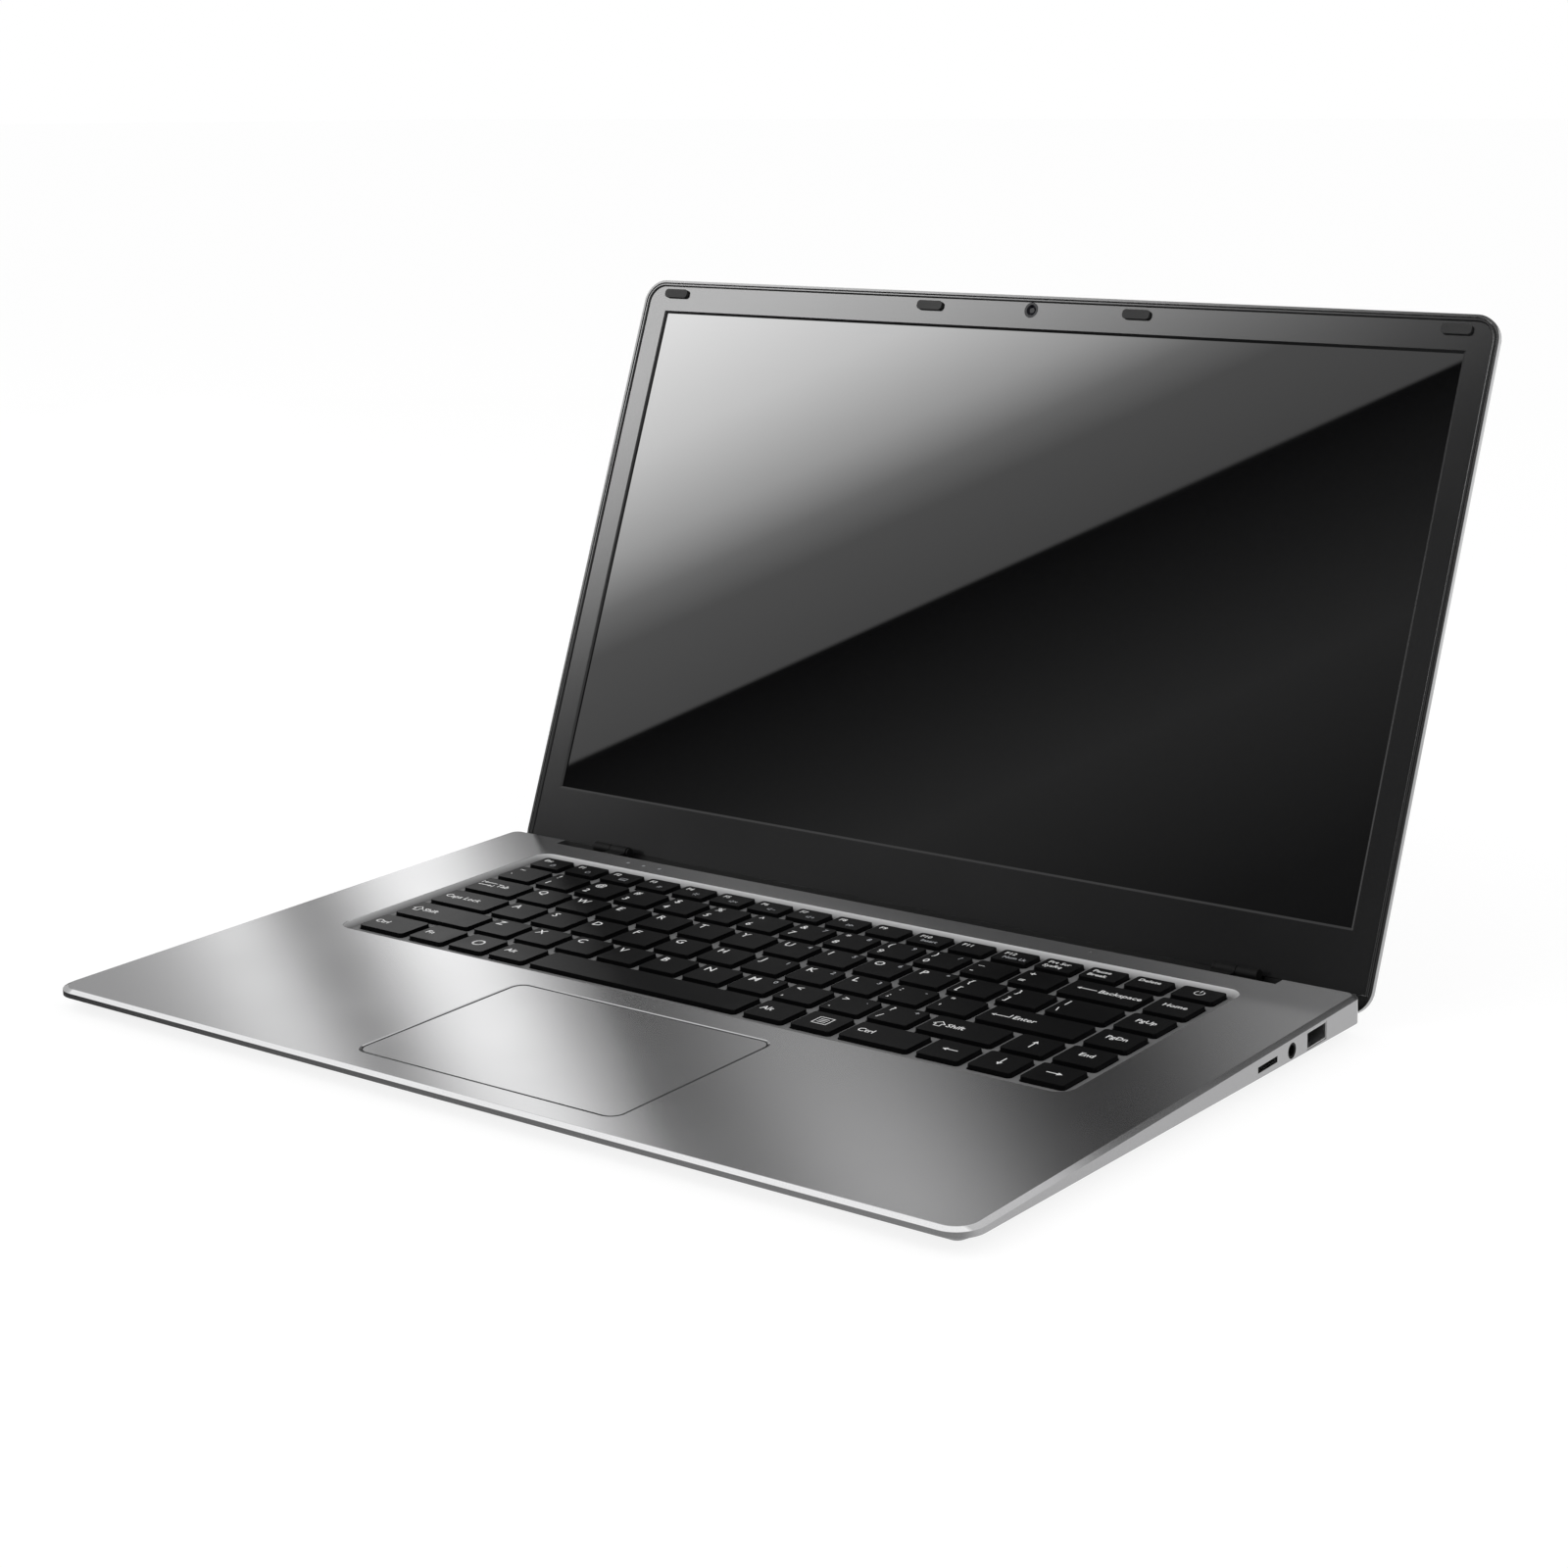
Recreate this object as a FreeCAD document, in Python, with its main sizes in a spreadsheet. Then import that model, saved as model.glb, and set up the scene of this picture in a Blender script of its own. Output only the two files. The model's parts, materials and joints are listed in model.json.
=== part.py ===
import FreeCAD, Part
import Sketcher
import math
import os
import re
from FreeCAD import Placement, Rotation, Vector

# A laptop computer with its lid open, in millimetres and degrees.
# Base pieces are drawn on the deck: X to the right, Y from the front edge to the back, Z up from its face.
# Bottom pieces are drawn on the table's level: Z up from the seam between the rim and the bottom cover.
# Lid pieces are drawn on the hinge axis: Y up along the lid, Z out of the screen.

SIZES = {
    # Screen and lid
    "screen_width": 344.8,
    "screen_height": 194.0,
    "bezel_side": 11.9,
    "bezel_head": 13.1,
    "chin": 21.0,
    "lid_side_inset": 0.2,
    "lid_tail": 7.0,
    "lid_thickness": 5.6,
    "lid_back_round": 4.2,
    "lid_corner": 9.0,
    "lid_rim": 0.9,
    "lid_inner_rim": 3.8,
    "lid_back_wall": 1.2,
    "bezel_thickness": 1.4,
    "bezel_recess": 0.6,
    "bezel_play": 0.15,
    "bezel_foot": 0.3,
    "bead_width": 1.3,
    "bead_round": 0.5,
    "lip_width": 0.8,
    "lip_depth": 0.5,
    "screen_overlap": 3.2,
    "display_glass": 1.0,
    "backlight_edge": 0.5,
    "backlight_foot": 6.0,
    "driver_board_height": 7.0,
    "driver_board_thickness": 0.8,
    "driver_board_gap": 0.3,
    "driver_board_side": 4.0,
    "foot_strip_recess": 0.3,
    "camera_drop": 5.3,
    "camera_radius": 2.8,
    "camera_play": 0.1,
    "camera_cone": 2.0,
    "camera_board_width": 64.0,
    "camera_board_height": 2.8,
    "camera_board_thickness": 0.8,
    "end_round": 0.4,
    "bumper_length": 11.2,
    "bumper_width": 3.4,
    "bumper_rise": 0.5,
    "bumper_middle": 45.0,
    "bumper_edge": 15.7,
    # Base
    "front_corner": 9.0,
    "rear_corner": 5.0,
    "deck_thickness": 1.6,
    "rim_wall": 1.8,
    "rim_front": 2.6,
    "rim_rise": 6.48,
    "bevel_width": 2.0,
    "bevel_drop": 0.9,
    "ear_width": 28.0,
    "notch_depth": 7.0,
    "seat_gap": 0.1,
    # Keyboard
    "key_pitch": 19.0,
    "row_pitch": 17.57,
    "rear_strip": 11.7,
    "key_gap": 3.1,
    "key_taper": 0.2,
    "key_corner": 1.3,
    "key_drop": 0.5,
    "key_sink": 0.15,
    "key_play": 0.3,
    "key_travel": 1.0,
    "function_key_depth": 10.7,
    "backspace_units": 1.7,
    "tab_units": 1.36,
    "caps_units": 1.58,
    "shift_units": 2.03,
    "ctrl_units": 1.28,
    "space_units": 4.86,
    "well_margin": 4.8,
    "well_front_margin": 6.4,
    "well_back_margin": 3.2,
    "well_depth": 2.05,
    "well_slope": 2.2,
    "well_corner": 6.0,
    "dome_radius": 3.0,
    "dome_top_radius": 1.9,
    "membrane_gap": 0.25,
    "membrane_thickness": 0.3,
    "back_plate_thickness": 0.6,
    "standoff_height": 0.95,
    "standoff_radius": 2.5,
    # Touchpad
    "pad_width": 105.4,
    "pad_front": 12.7,
    "pad_back_margin": 11.7,
    "pad_corner": 4.0,
    "pad_gap": 0.35,
    "pad_inset": 0.2,
    "pad_thickness": 1.2,
    "pad_board_thickness": 1.0,
    "pad_board_inset": 3.0,
    "tray_margin": 5.0,
    "tray_floor": 0.5,
    "tray_wall": 1.0,
    "tray_room": 0.7,
    "bead_radius": 0.35,
    "bead_gap": 0.05,
    "bead_inset": 4.5,
    "pad_travel": 0.35,
    "switch_size": 5.0,
    "switch_front": 8.0,
    # Small holes in the deck
    "light_side": 69.3,
    "light_pitch": 7.7,
    "light_back": 12.6,
    "light_radius": 0.7,
    "light_play": 0.05,
    "light_board_edge": 4.0,
    "light_board_depth": 4.4,
    "light_board_thickness": 0.8,
    "mic_side": 95.9,
    "mic_back": 10.9,
    "mic_hole_radius": 0.5,
    "mic_size": 4.0,
    "mic_height": 1.2,
    # Ports, their places given from the rear edge
    "port_level": 4.6,
    "port_play": 0.15,
    "usb_back": 31.7,
    "usb_width": 12.6,
    "usb_height": 5.6,
    "usb_wall": 0.35,
    "usb_length": 14.0,
    "tongue_width": 10.8,
    "tongue_height": 1.8,
    "tongue_length": 9.0,
    "tongue_rise": 0.7,
    "audio_back": 47.9,
    "audio_bore": 1.8,
    "audio_nose": 2.4,
    "audio_width": 6.0,
    "audio_height": 5.4,
    "audio_length": 13.0,
    "audio_bore_length": 11.5,
    "card_back": 63.3,
    "card_width": 12.4,
    "card_height": 1.9,
    "card_slot_width": 11.2,
    "card_slot_height": 1.0,
    "card_mouth_width": 11.8,
    "card_mouth_height": 1.7,
    "card_length": 14.5,
    "card_slot_depth": 13.0,
    "video_back": 53.0,
    "video_width": 11.6,
    "video_height": 3.3,
    "video_wall": 0.4,
    "video_length": 8.5,
    "video_tongue": 0.8,
    "power_back": 17.8,
    "power_bore": 2.0,
    "power_ring": 0.6,
    "power_bore_length": 9.5,
    "power_pin": 0.6,
    "power_pin_length": 8.0,
    "power_width": 5.6,
    "power_length": 11.0,
    # Boards and what is on them
    "board_thickness": 1.0,
    "board_width": 262.0,
    "board_back": 21.0,
    "board_depth": 78.0,
    "board_edge_gap": 2.5,
    "board_slot_gap": 0.3,
    "standoff_inset": 45.0,
    "standoff_pitch": 95.0,
    "standoff_edge": 9.0,
    "port_board_gap": 2.5,
    "port_board_back": 17.0,
    "port_board_depth": 58.0,
    "post_radius": 2.0,
    "post_inset": 4.5,
    "chip_place": 140.0,
    "chip_size": 24.0,
    "chip_height": 0.9,
    "memory_width": 11.0,
    "memory_depth": 9.0,
    "memory_side": 20.0,
    "memory_row": 12.0,
    "spreader_width": 112.0,
    "spreader_depth": 46.0,
    "spreader_thickness": 0.6,
    "storage_width": 42.0,
    "storage_place": 230.0,
    "wireless_width": 30.0,
    "wireless_place": 50.0,
    "module_depth": 22.0,
    "module_edge": 8.0,
    "module_thickness": 1.1,
    # Battery and speakers
    "cell_thickness": 2.5,
    "cell_gap": 1.5,
    "cell_edge_gap": 6.6,
    "cell_front": 14.5,
    "cell_back_gap": 5.9,
    "cell_corner": 2.0,
    "battery_board_width": 108.0,
    "battery_board_depth": 3.8,
    "battery_board_gap": 0.4,
    "battery_board_thickness": 1.2,
    "speaker_margin": 5.0,
    "speaker_depth": 44.0,
    "speaker_height": 3.2,
    "speaker_place": 4.6,
    "speaker_corner": 3.0,
    # Bottom cover, feet and screws
    "pan_depth": 3.2,
    "pan_floor": 1.2,
    "pan_slope": 6.0,
    "pan_inset": 0.4,
    "pan_wall": 2.4,
    "foot_height": 1.8,
    "foot_length": 44.0,
    "foot_width": 9.0,
    "foot_corner": 4.0,
    "foot_side": 66.5,
    "foot_front": 26.0,
    "foot_back": 27.0,
    "screw_radius": 0.8,
    "screw_play": 0.1,
    "screw_head_radius": 1.9,
    "screw_head_height": 0.8,
    "screw_head_sink": 0.15,
    "screw_bite": 0.9,
    "boss_radius": 2.2,
    "front_screw_inset": 10.5,
    "front_screw_side": 88.0,
    "side_screw_inset": 9.0,
    "middle_screw_gap": 1.9,
    "rear_screw_back": 11.0,
    "rear_screw_side": 78.0,
    "rear_corner_screw_inset": 18.5,
    "vent_pitch": 4.0,
    "vent_length": 9.0,
    "vent_width": 1.4,
    # Trough strip behind the deck
    "trough_wall": 1.2,
    "trough_level": 5.8,
    "trough_floor": 1.0,
    "trough_reach": 5.6,
    "trough_gap": 0.3,
    # Hinges
    "hinge_setback": 3.1,
    "hinge_drop": 2.13,
    "closed_gap": 0.8,
    "open_angle": 112.7,
    "hinge_inset": 19.5,
    "knuckle_length": 8.0,
    "knuckle_gap": 0.3,
    "knuckle_radius": 2.1,
    "pin_radius": 1.2,
    "pin_play": 0.05,
    "pin_seat": 0.02,
    "pin_head_radius": 1.8,
    "pin_head_length": 0.7,
    "bracket_length": 32.0,
    "bracket_overhang": 4.0,
    "bracket_depth": 8.5,
    "bracket_thickness": 1.2,
    "bracket_arm_height": 1.8,
    "bracket_play": 0.5,
    "arm_length": 34.0,
    "arm_overhang": 19.0,
    "arm_height": 10.0,
    "arm_thickness": 1.0,
    "neck_low": 2.6,
    "neck_height": 2.0,
}

FUNCTION_ROW = 5
FUNCTION_KEYS = 16
NUMBER_KEYS = 13
UPPER_KEYS = 12
HOME_KEYS = 11
LOWER_KEYS = 10
LEFT_MODIFIERS = 3
RIGHT_MODIFIERS = 2
PAGING_KEYS = 4
LIGHTS = 3
VENTS = 8
STANDOFF_COLUMNS = 3

# Formulas worked out from the driving dimensions
FORMULAS = {
    "lid_width": "screen_width + 2 * bezel_side",
    "hinge_back": "chin + screen_height + bezel_head",
    "base_width": "lid_width + 2 * lid_side_inset",
    "base_depth": "hinge_back - hinge_setback",
    "notch_front": "base_depth - notch_depth",
    "notch_width": "base_width - 2 * ear_width",
    "deck_tilt": "atan(rim_rise / base_depth)",
    "seam_front": "rim_front / cos(deck_tilt)",
    "seam_rear": "seam_front + rim_rise",
    "main_units": "%d + backspace_units" % NUMBER_KEYS,
    "keyboard_units": "main_units + 1",
    "right_units": "ctrl_units + %d + space_units" % LEFT_MODIFIERS,
    "well_width": "keyboard_units * key_pitch - key_gap + 2 * well_margin",
    "keys_length": "%d * row_pitch + function_key_depth" % FUNCTION_ROW,
    "well_length": "keys_length + well_front_margin + well_back_margin",
    "well_front": "notch_front - rear_strip - well_length",
    "well_middle": "well_front + well_length / 2",
    "key_front": "well_front + well_front_margin",
    "row_depth": "row_pitch - key_gap",
    "cap_height": "well_depth + key_sink - key_drop",
    "web_level": "well_depth + key_sink + key_travel",
    "membrane_level": "web_level + membrane_gap",
    "plate_level": "membrane_level + membrane_thickness",
    "plate_low": "plate_level + back_plate_thickness",
    "under_deck": "deck_thickness + seat_gap",
    "side_room": "(base_width - well_width) / 2 - rim_wall",
    "pad_depth": "well_front - pad_front - pad_back_margin",
    "pad_middle": "pad_front + pad_depth / 2",
    "pad_low": "pad_inset + pad_thickness + pad_board_thickness",
    "tray_level": "pad_low + tray_room",
    "tray_inner_width": "pad_width + 2 * pad_gap + 2 * tray_margin",
    "tray_inner_depth": "pad_depth + 2 * pad_gap + 2 * tray_margin",
    "bead_y": "pad_front + pad_depth - bead_inset",
    "light_first": "light_side - base_width / 2",
    "mic_x": "base_width / 2 - mic_side",
    "board_level": "plate_low + standoff_height",
    "board_low": "board_level + board_thickness",
    "board_left": "board_edge_gap + rim_wall - base_width / 2",
    "board_front": "base_depth - board_back - board_depth",
    "chip_x": "board_left + chip_place",
    "chip_y": "board_front + board_depth / 2",
    "port_board_width": "side_room - board_edge_gap - port_board_gap",
    "port_board_front": "base_depth - port_board_back - port_board_depth",
    "port_board_x": "base_width / 2 - rim_wall - board_edge_gap - port_board_width",
    "port_face": "base_width / 2 - port_play",
    "wall_face": "base_width / 2 - rim_wall - port_play",
    "usb_y": "base_depth - usb_back",
    "audio_y": "base_depth - audio_back",
    "card_y": "base_depth - card_back",
    "card_level": "board_level - card_height / 2",
    "video_y": "base_depth - video_back",
    "power_y": "base_depth - power_back",
    "cell_inner": "tray_inner_width / 2 + tray_wall + cell_gap",
    "cell_width": "(base_width / 2 - rim_wall - cell_edge_gap - cell_inner - cell_gap) / 2",
    "cell_depth": "well_front - cell_front - cell_back_gap",
    "speaker_width": "side_room - 2 * speaker_margin",
    "speaker_x": "well_width / 2 + speaker_margin + speaker_width / 2",
    "speaker_y": "well_front + speaker_place + speaker_depth / 2",
    "lid_height": "hinge_back + lid_tail",
    "lid_middle": "(hinge_back - lid_tail) / 2",
    "lid_face": "closed_gap + hinge_drop",
    "bezel_face": "lid_face + bezel_recess",
    "bezel_low": "lid_face + bezel_thickness",
    "lid_floor": "lid_face + lid_thickness - lid_back_wall",
    "bezel_width": "lid_width - 2 * lid_rim - 2 * bezel_play",
    "bezel_top": "hinge_back - lid_rim - bezel_play",
    "inlay_height": "lid_height - 2 * lid_rim - 2 * bezel_play",
    "bezel_corner": "lid_corner - lid_rim - bezel_play",
    "screen_middle": "chin + screen_height / 2",
    "display_level": "bezel_low + seat_gap",
    "display_width": "screen_width + 2 * screen_overlap",
    "display_height": "screen_height + 2 * screen_overlap",
    "backlight_level": "display_level + display_glass",
    "backlight_low": "chin - screen_overlap - backlight_foot",
    "camera_y": "hinge_back - camera_drop",
    "hinge_side": "notch_width / 2 - hinge_inset",
    "knuckle_inner": "hinge_side - knuckle_length",
    "knuckle_span": "knuckle_length - knuckle_gap / 2",
    "arm_inner": "hinge_side - arm_overhang",
    "bracket_inner": "knuckle_inner - bracket_overhang",
    "bracket_back": "notch_front - trough_wall - trough_gap",
    "pan_width": "base_width - 2 * pan_inset",
    "pan_length": "base_depth / cos(deck_tilt) - 2 * pan_inset",
    "pan_middle": "base_depth / 2 / cos(deck_tilt) + rim_front * tan(deck_tilt)",
    "pan_corner": "front_corner - pan_inset",
    "pan_room": "pan_depth - pan_floor",
}

doc = FreeCAD.newDocument("laptop")
sheet = doc.addObject("Spreadsheet::Sheet", "Sizes")
for line, (alias, number) in enumerate(SIZES.items(), start=1):
    sheet.set("A%d" % line, alias)
    sheet.set("B%d" % line, str(number))
    sheet.setAlias("B%d" % line, alias)
doc.recompute()


# Formulas and values


def spelled(formula):
    """Writes a formula out in cells of the sheet."""
    def word(match):
        name = match.group(0)
        if name in SIZES:
            return "Sizes." + name
        if name in FORMULAS:
            return "(" + spelled(FORMULAS[name]) + ")"
        return name
    return re.sub(r"[a-z_]+", word, str(formula))


def value(formula):
    result = sheet.evalExpression(spelled(formula))
    return float(getattr(result, "Value", result))


def bind(item, prop, formula):
    item.setExpression(prop, spelled(formula))


# Nodes: each finished sub-part with the frame it is drawn in

nodes = []


def node(item, label, frame):
    item.Label = label
    nodes.append((item, frame))
    return item


# Sketches and features


def origin_item(body, role):
    return next(item for item in body.Origin.OriginFeatures if item.Role == role)


def new_body(name):
    body = doc.addObject("PartDesign::Body", name)
    body.AllowCompound = True
    return body


def new_sketch(body, plane, x=0, y=0, level=0):
    """A sketch on one of the body's own planes, moved along it and away from it."""
    sketch = body.newObject("Sketcher::SketchObject", body.Name + "_sketch")
    sketch.AttachmentSupport = [(origin_item(body, plane), "")]
    sketch.MapMode = "FlatFace"
    for axis, formula in zip("xyz", (x, y, level)):
        bind(sketch, "AttachmentOffset.Base." + axis, formula)
    return sketch


def dimension(sketch, kind, *places, formula):
    index = sketch.addConstraint(Sketcher.Constraint(kind, *places, value(formula)))
    sketch.setExpression("Constraints[%d]" % index, spelled(formula))


def rectangle(sketch, width, height):
    """A rectangle about the sketch's origin."""
    half_w = value(width) / 2
    half_h = value(height) / 2
    corners = [Vector(-half_w, -half_h), Vector(half_w, -half_h),
               Vector(half_w, half_h), Vector(-half_w, half_h)]
    first = sketch.GeometryCount
    for i in range(4):
        sketch.addGeometry(Part.LineSegment(corners[i], corners[(i + 1) % 4]))
    for i in range(4):
        sketch.addConstraint(Sketcher.Constraint("Coincident", first + i, 2, first + (i + 1) % 4, 1))
    for i in (0, 2):
        sketch.addConstraint(Sketcher.Constraint("Horizontal", first + i))
        sketch.addConstraint(Sketcher.Constraint("Vertical", first + i + 1))
    sketch.addConstraint(Sketcher.Constraint("Symmetric", first, 1, first + 2, 1, -1, 1))
    dimension(sketch, "DistanceX", first, 1, first, 2, formula=width)
    dimension(sketch, "DistanceY", first + 1, 1, first + 1, 2, formula=height)
    return sketch


def rounded_rectangle(sketch, width, height, radius):
    """A rectangle about the sketch's origin with four equal round corners."""
    half_w = value(width) / 2
    half_h = value(height) / 2
    r = value(radius)
    first = sketch.GeometryCount
    turns = [(half_w, -half_h, -90), (half_w, half_h, 0), (-half_w, half_h, 90), (-half_w, -half_h, 180)]
    arcs = []
    for x, y, angle in turns:
        centre = Vector(math.copysign(abs(x) - r, x), math.copysign(abs(y) - r, y))
        circle = Part.Circle(centre, Vector(0, 0, 1), r)
        arcs.append(Part.ArcOfCircle(circle, math.radians(angle), math.radians(angle + 90)))
    for i in range(4):
        sketch.addGeometry(Part.LineSegment(arcs[i - 1].EndPoint, arcs[i].StartPoint))
        sketch.addGeometry(arcs[i])
    for i in range(8):
        sketch.addConstraint(Sketcher.Constraint("Tangent", first + i, 2, first + (i + 1) % 8, 1))
    for i in (0, 4):
        sketch.addConstraint(Sketcher.Constraint("Horizontal", first + i))
        sketch.addConstraint(Sketcher.Constraint("Vertical", first + i + 2))
    for i in (3, 5, 7):
        sketch.addConstraint(Sketcher.Constraint("Equal", first + 1, first + i))
    sketch.addConstraint(Sketcher.Constraint("Symmetric", first, 1, first + 4, 1, -1, 1))
    dimension(sketch, "Radius", first + 1, formula=radius)
    dimension(sketch, "DistanceX", first + 6, 1, first + 2, 1, formula=width)
    dimension(sketch, "DistanceY", first, 1, first + 4, 1, formula=height)
    return sketch


def circles(sketch, radius, places=(("0", "0"),)):
    """Equal circles, each about a pair of formulas."""
    for x, y in places:
        centre = Vector(value(x), value(y), 0)
        index = sketch.addGeometry(Part.Circle(centre, Vector(0, 0, 1), value(radius)))
        dimension(sketch, "DistanceX", -1, 1, index, 3, formula=x)
        dimension(sketch, "DistanceY", -1, 1, index, 3, formula=y)
        dimension(sketch, "Radius", index, formula=radius)
    return sketch


def polygon(sketch, points):
    """Straight lines through points, each a pair of formulas."""
    places = [Vector(value(x), value(y)) for x, y in points]
    count = len(points)
    first = sketch.GeometryCount
    for i in range(count):
        sketch.addGeometry(Part.LineSegment(places[i], places[(i + 1) % count]))
    for i in range(count):
        sketch.addConstraint(Sketcher.Constraint("Coincident", first + i, 2, first + (i + 1) % count, 1))
    for i, (x, y) in enumerate(points):
        dimension(sketch, "DistanceX", -1, 1, first + i, 1, formula=x)
        dimension(sketch, "DistanceY", -1, 1, first + i, 1, formula=y)
    return sketch


def pad(body, sketch, length, down=False, slope=None):
    """Adds material up from a sketch, or down; slope is how far the sides lean in over the length."""
    feature = body.newObject("PartDesign::Pad", body.Name + "_pad")
    feature.Profile = sketch
    feature.Reversed = down
    bind(feature, "Length", length)
    if slope:
        bind(feature, "TaperAngle", "-atan((%s) / (%s))" % (slope, length))
    return feature


def pocket(body, sketch, length, up=False, slope=None, both_ways=False):
    """Cuts down from a sketch, or up; slope is how far the sides lean in over the length."""
    feature = body.newObject("PartDesign::Pocket", body.Name + "_pocket")
    feature.Profile = sketch
    feature.Reversed = up
    feature.Midplane = both_ways
    bind(feature, "Length", length)
    if slope:
        bind(feature, "TaperAngle", "-atan((%s) / (%s))" % (slope, length))
    return feature


def repeat(body, feature, axis, pitch, count):
    """Repeats a feature along one of the body's axes."""
    pattern = body.newObject("PartDesign::LinearPattern", body.Name + "_pattern")
    pattern.Originals = [feature]
    pattern.Direction = (origin_item(body, axis), [""])
    bind(pattern, "Length", "(%s) * %d" % (pitch, count - 1))
    pattern.Occurrences = count
    body.Tip = pattern
    return pattern


def edges_where(feature, test):
    """Names the edges of a feature whose middle and direction pass a test."""
    doc.recompute()
    names = []
    for index, edge in enumerate(feature.Shape.Edges, start=1):
        middle = edge.valueAt((edge.FirstParameter + edge.LastParameter) / 2)
        along = edge.tangentAt((edge.FirstParameter + edge.LastParameter) / 2)
        if test(middle, along):
            names.append("Edge%d" % index)
    return names


def fillet(body, feature, test, radius):
    names = edges_where(feature, test)
    rounding = body.newObject("PartDesign::Fillet", body.Name + "_fillet")
    rounding.Base = (feature, names)
    bind(rounding, "Radius", radius)
    return rounding


def chamfer(body, feature, test, across, down, flip):
    names = edges_where(feature, test)
    bevel = body.newObject("PartDesign::Chamfer", body.Name + "_chamfer")
    bevel.Base = (feature, names)
    bevel.ChamferType = "Two distances"
    bevel.FlipDirection = flip
    bind(bevel, "Size", across)
    bind(bevel, "Size2", down)
    return bevel


# Part primitives, each by its low corner or its base's centre


def place(item, x, y, z):
    for axis, formula in zip("xyz", (x, y, z)):
        bind(item, "Placement.Base." + axis, formula)
    return item


def block(name, length, depth, height, x, y, z):
    item = doc.addObject("Part::Box", name)
    for prop, formula in zip(("Length", "Width", "Height"), (length, depth, height)):
        bind(item, prop, formula)
    return place(item, x, y, z)


def cylinder(name, radius, length, x, y, z, along=Vector(0, 0, 1)):
    item = doc.addObject("Part::Cylinder", name)
    bind(item, "Radius", radius)
    bind(item, "Height", length)
    item.Placement.Rotation = Rotation(Vector(0, 0, 1), along)
    return place(item, x, y, z)


def cone(name, low_radius, high_radius, height, x, y, z):
    item = doc.addObject("Part::Cone", name)
    bind(item, "Radius1", low_radius)
    bind(item, "Radius2", high_radius)
    bind(item, "Height", height)
    return place(item, x, y, z)


def fuse(name, items):
    joined = doc.addObject("Part::MultiFuse", name)
    joined.Shapes = items
    return joined


def cut(name, base, tool):
    result = doc.addObject("Part::Cut", name)
    result.Base = base
    result.Tool = tool
    return result


def group(name, items):
    """Separate solids in one node."""
    together = doc.addObject("Part::Compound", name)
    together.Links = items
    return together


def rounded_plate(name, width, depth, thickness, radius, x, y, top, plane="XY_Plane"):
    """A flat plate with round corners, its middle and its top face given."""
    body = new_body(name)
    sketch = rounded_rectangle(new_sketch(body, plane, x, y, top), width, depth, radius)
    pad(body, sketch, thickness, down=True)
    return body


ALONG_X = Vector(1, 0, 0)
TOUCH = 0.01
MOSTLY = 0.9


def upright(along):
    return abs(along.z) > MOSTLY


def same(first, second):
    return abs(first - second) < TOUCH


# Keyboard layout: runs of equal keys, each with its row from the front, first column, width and count

KEY_RUNS = [
    ("function_keys", FUNCTION_ROW, "0", "main_units / %d" % FUNCTION_KEYS, FUNCTION_KEYS),
    ("power_key", FUNCTION_ROW, "main_units", "1", 1),
    ("number_keys", 4, "0", "1", NUMBER_KEYS),
    ("backspace_key", 4, str(NUMBER_KEYS), "backspace_units", 1),
    ("tab_key", 3, "0", "tab_units", 1),
    ("upper_letter_keys", 3, "tab_units", "1", UPPER_KEYS),
    ("backslash_key", 3, "tab_units + %d" % UPPER_KEYS, "main_units - tab_units - %d" % UPPER_KEYS, 1),
    ("caps_key", 2, "0", "caps_units", 1),
    ("home_letter_keys", 2, "caps_units", "1", HOME_KEYS),
    ("enter_key", 2, "caps_units + %d" % HOME_KEYS, "main_units - caps_units - %d" % HOME_KEYS, 1),
    ("left_shift_key", 1, "0", "shift_units", 1),
    ("lower_letter_keys", 1, "shift_units", "1", LOWER_KEYS),
    ("right_shift_key", 1, "shift_units + %d" % LOWER_KEYS,
     "main_units - 1 - shift_units - %d" % LOWER_KEYS, 1),
    ("arrow_up_key", 1, "main_units - 1", "1", 1),
    ("left_ctrl_key", 0, "0", "ctrl_units", 1),
    ("left_modifier_keys", 0, "ctrl_units", "1", LEFT_MODIFIERS),
    ("space_bar", 0, "ctrl_units + %d" % LEFT_MODIFIERS, "space_units", 1),
    ("right_modifier_keys", 0, "right_units", "1", RIGHT_MODIFIERS),
    ("right_ctrl_key", 0, "right_units + %d" % RIGHT_MODIFIERS,
     "main_units - 2 - right_units - %d" % RIGHT_MODIFIERS, 1),
    ("arrow_left_key", 0, "main_units - 2", "1", 1),
    ("arrow_down_key", 0, "main_units - 1", "1", 1),
    ("arrow_right_key", 0, "main_units", "1", 1),
]
PAGING_RUN = ("paging_keys", 1, "main_units", "1", PAGING_KEYS)


def key_depth(row):
    return "function_key_depth" if row == FUNCTION_ROW else "row_depth"


def key_width(columns):
    return "(%s) * key_pitch - key_gap" % columns


def key_x(column, columns):
    return "((%s) + (%s) / 2 - keyboard_units / 2) * key_pitch" % (column, columns)


def key_y(row):
    return "key_front + %d * row_pitch + %s / 2" % (row, key_depth(row))


def run_step(run):
    """The axis and pitch along which a run's keys repeat."""
    if run is PAGING_RUN:
        return "Y_Axis", "row_pitch"
    return "X_Axis", "(%s) * key_pitch" % run[3]


def key_caps():
    """Key caps lean in from a foot just inside their openings to a flat top."""
    for run in KEY_RUNS + [PAGING_RUN]:
        name, row, column, columns, count = run
        body = new_body(name)
        sketch = new_sketch(body, "XY_Plane", key_x(column, columns), key_y(row), "-(well_depth + key_sink)")
        rounded_rectangle(sketch, key_width(columns), key_depth(row), "key_corner")
        cap = pad(body, sketch, "cap_height", slope="key_taper")
        if count > 1:
            axis, pitch = run_step(run)
            repeat(body, cap, axis, pitch, count)
        node(body, name, "deck")


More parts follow.
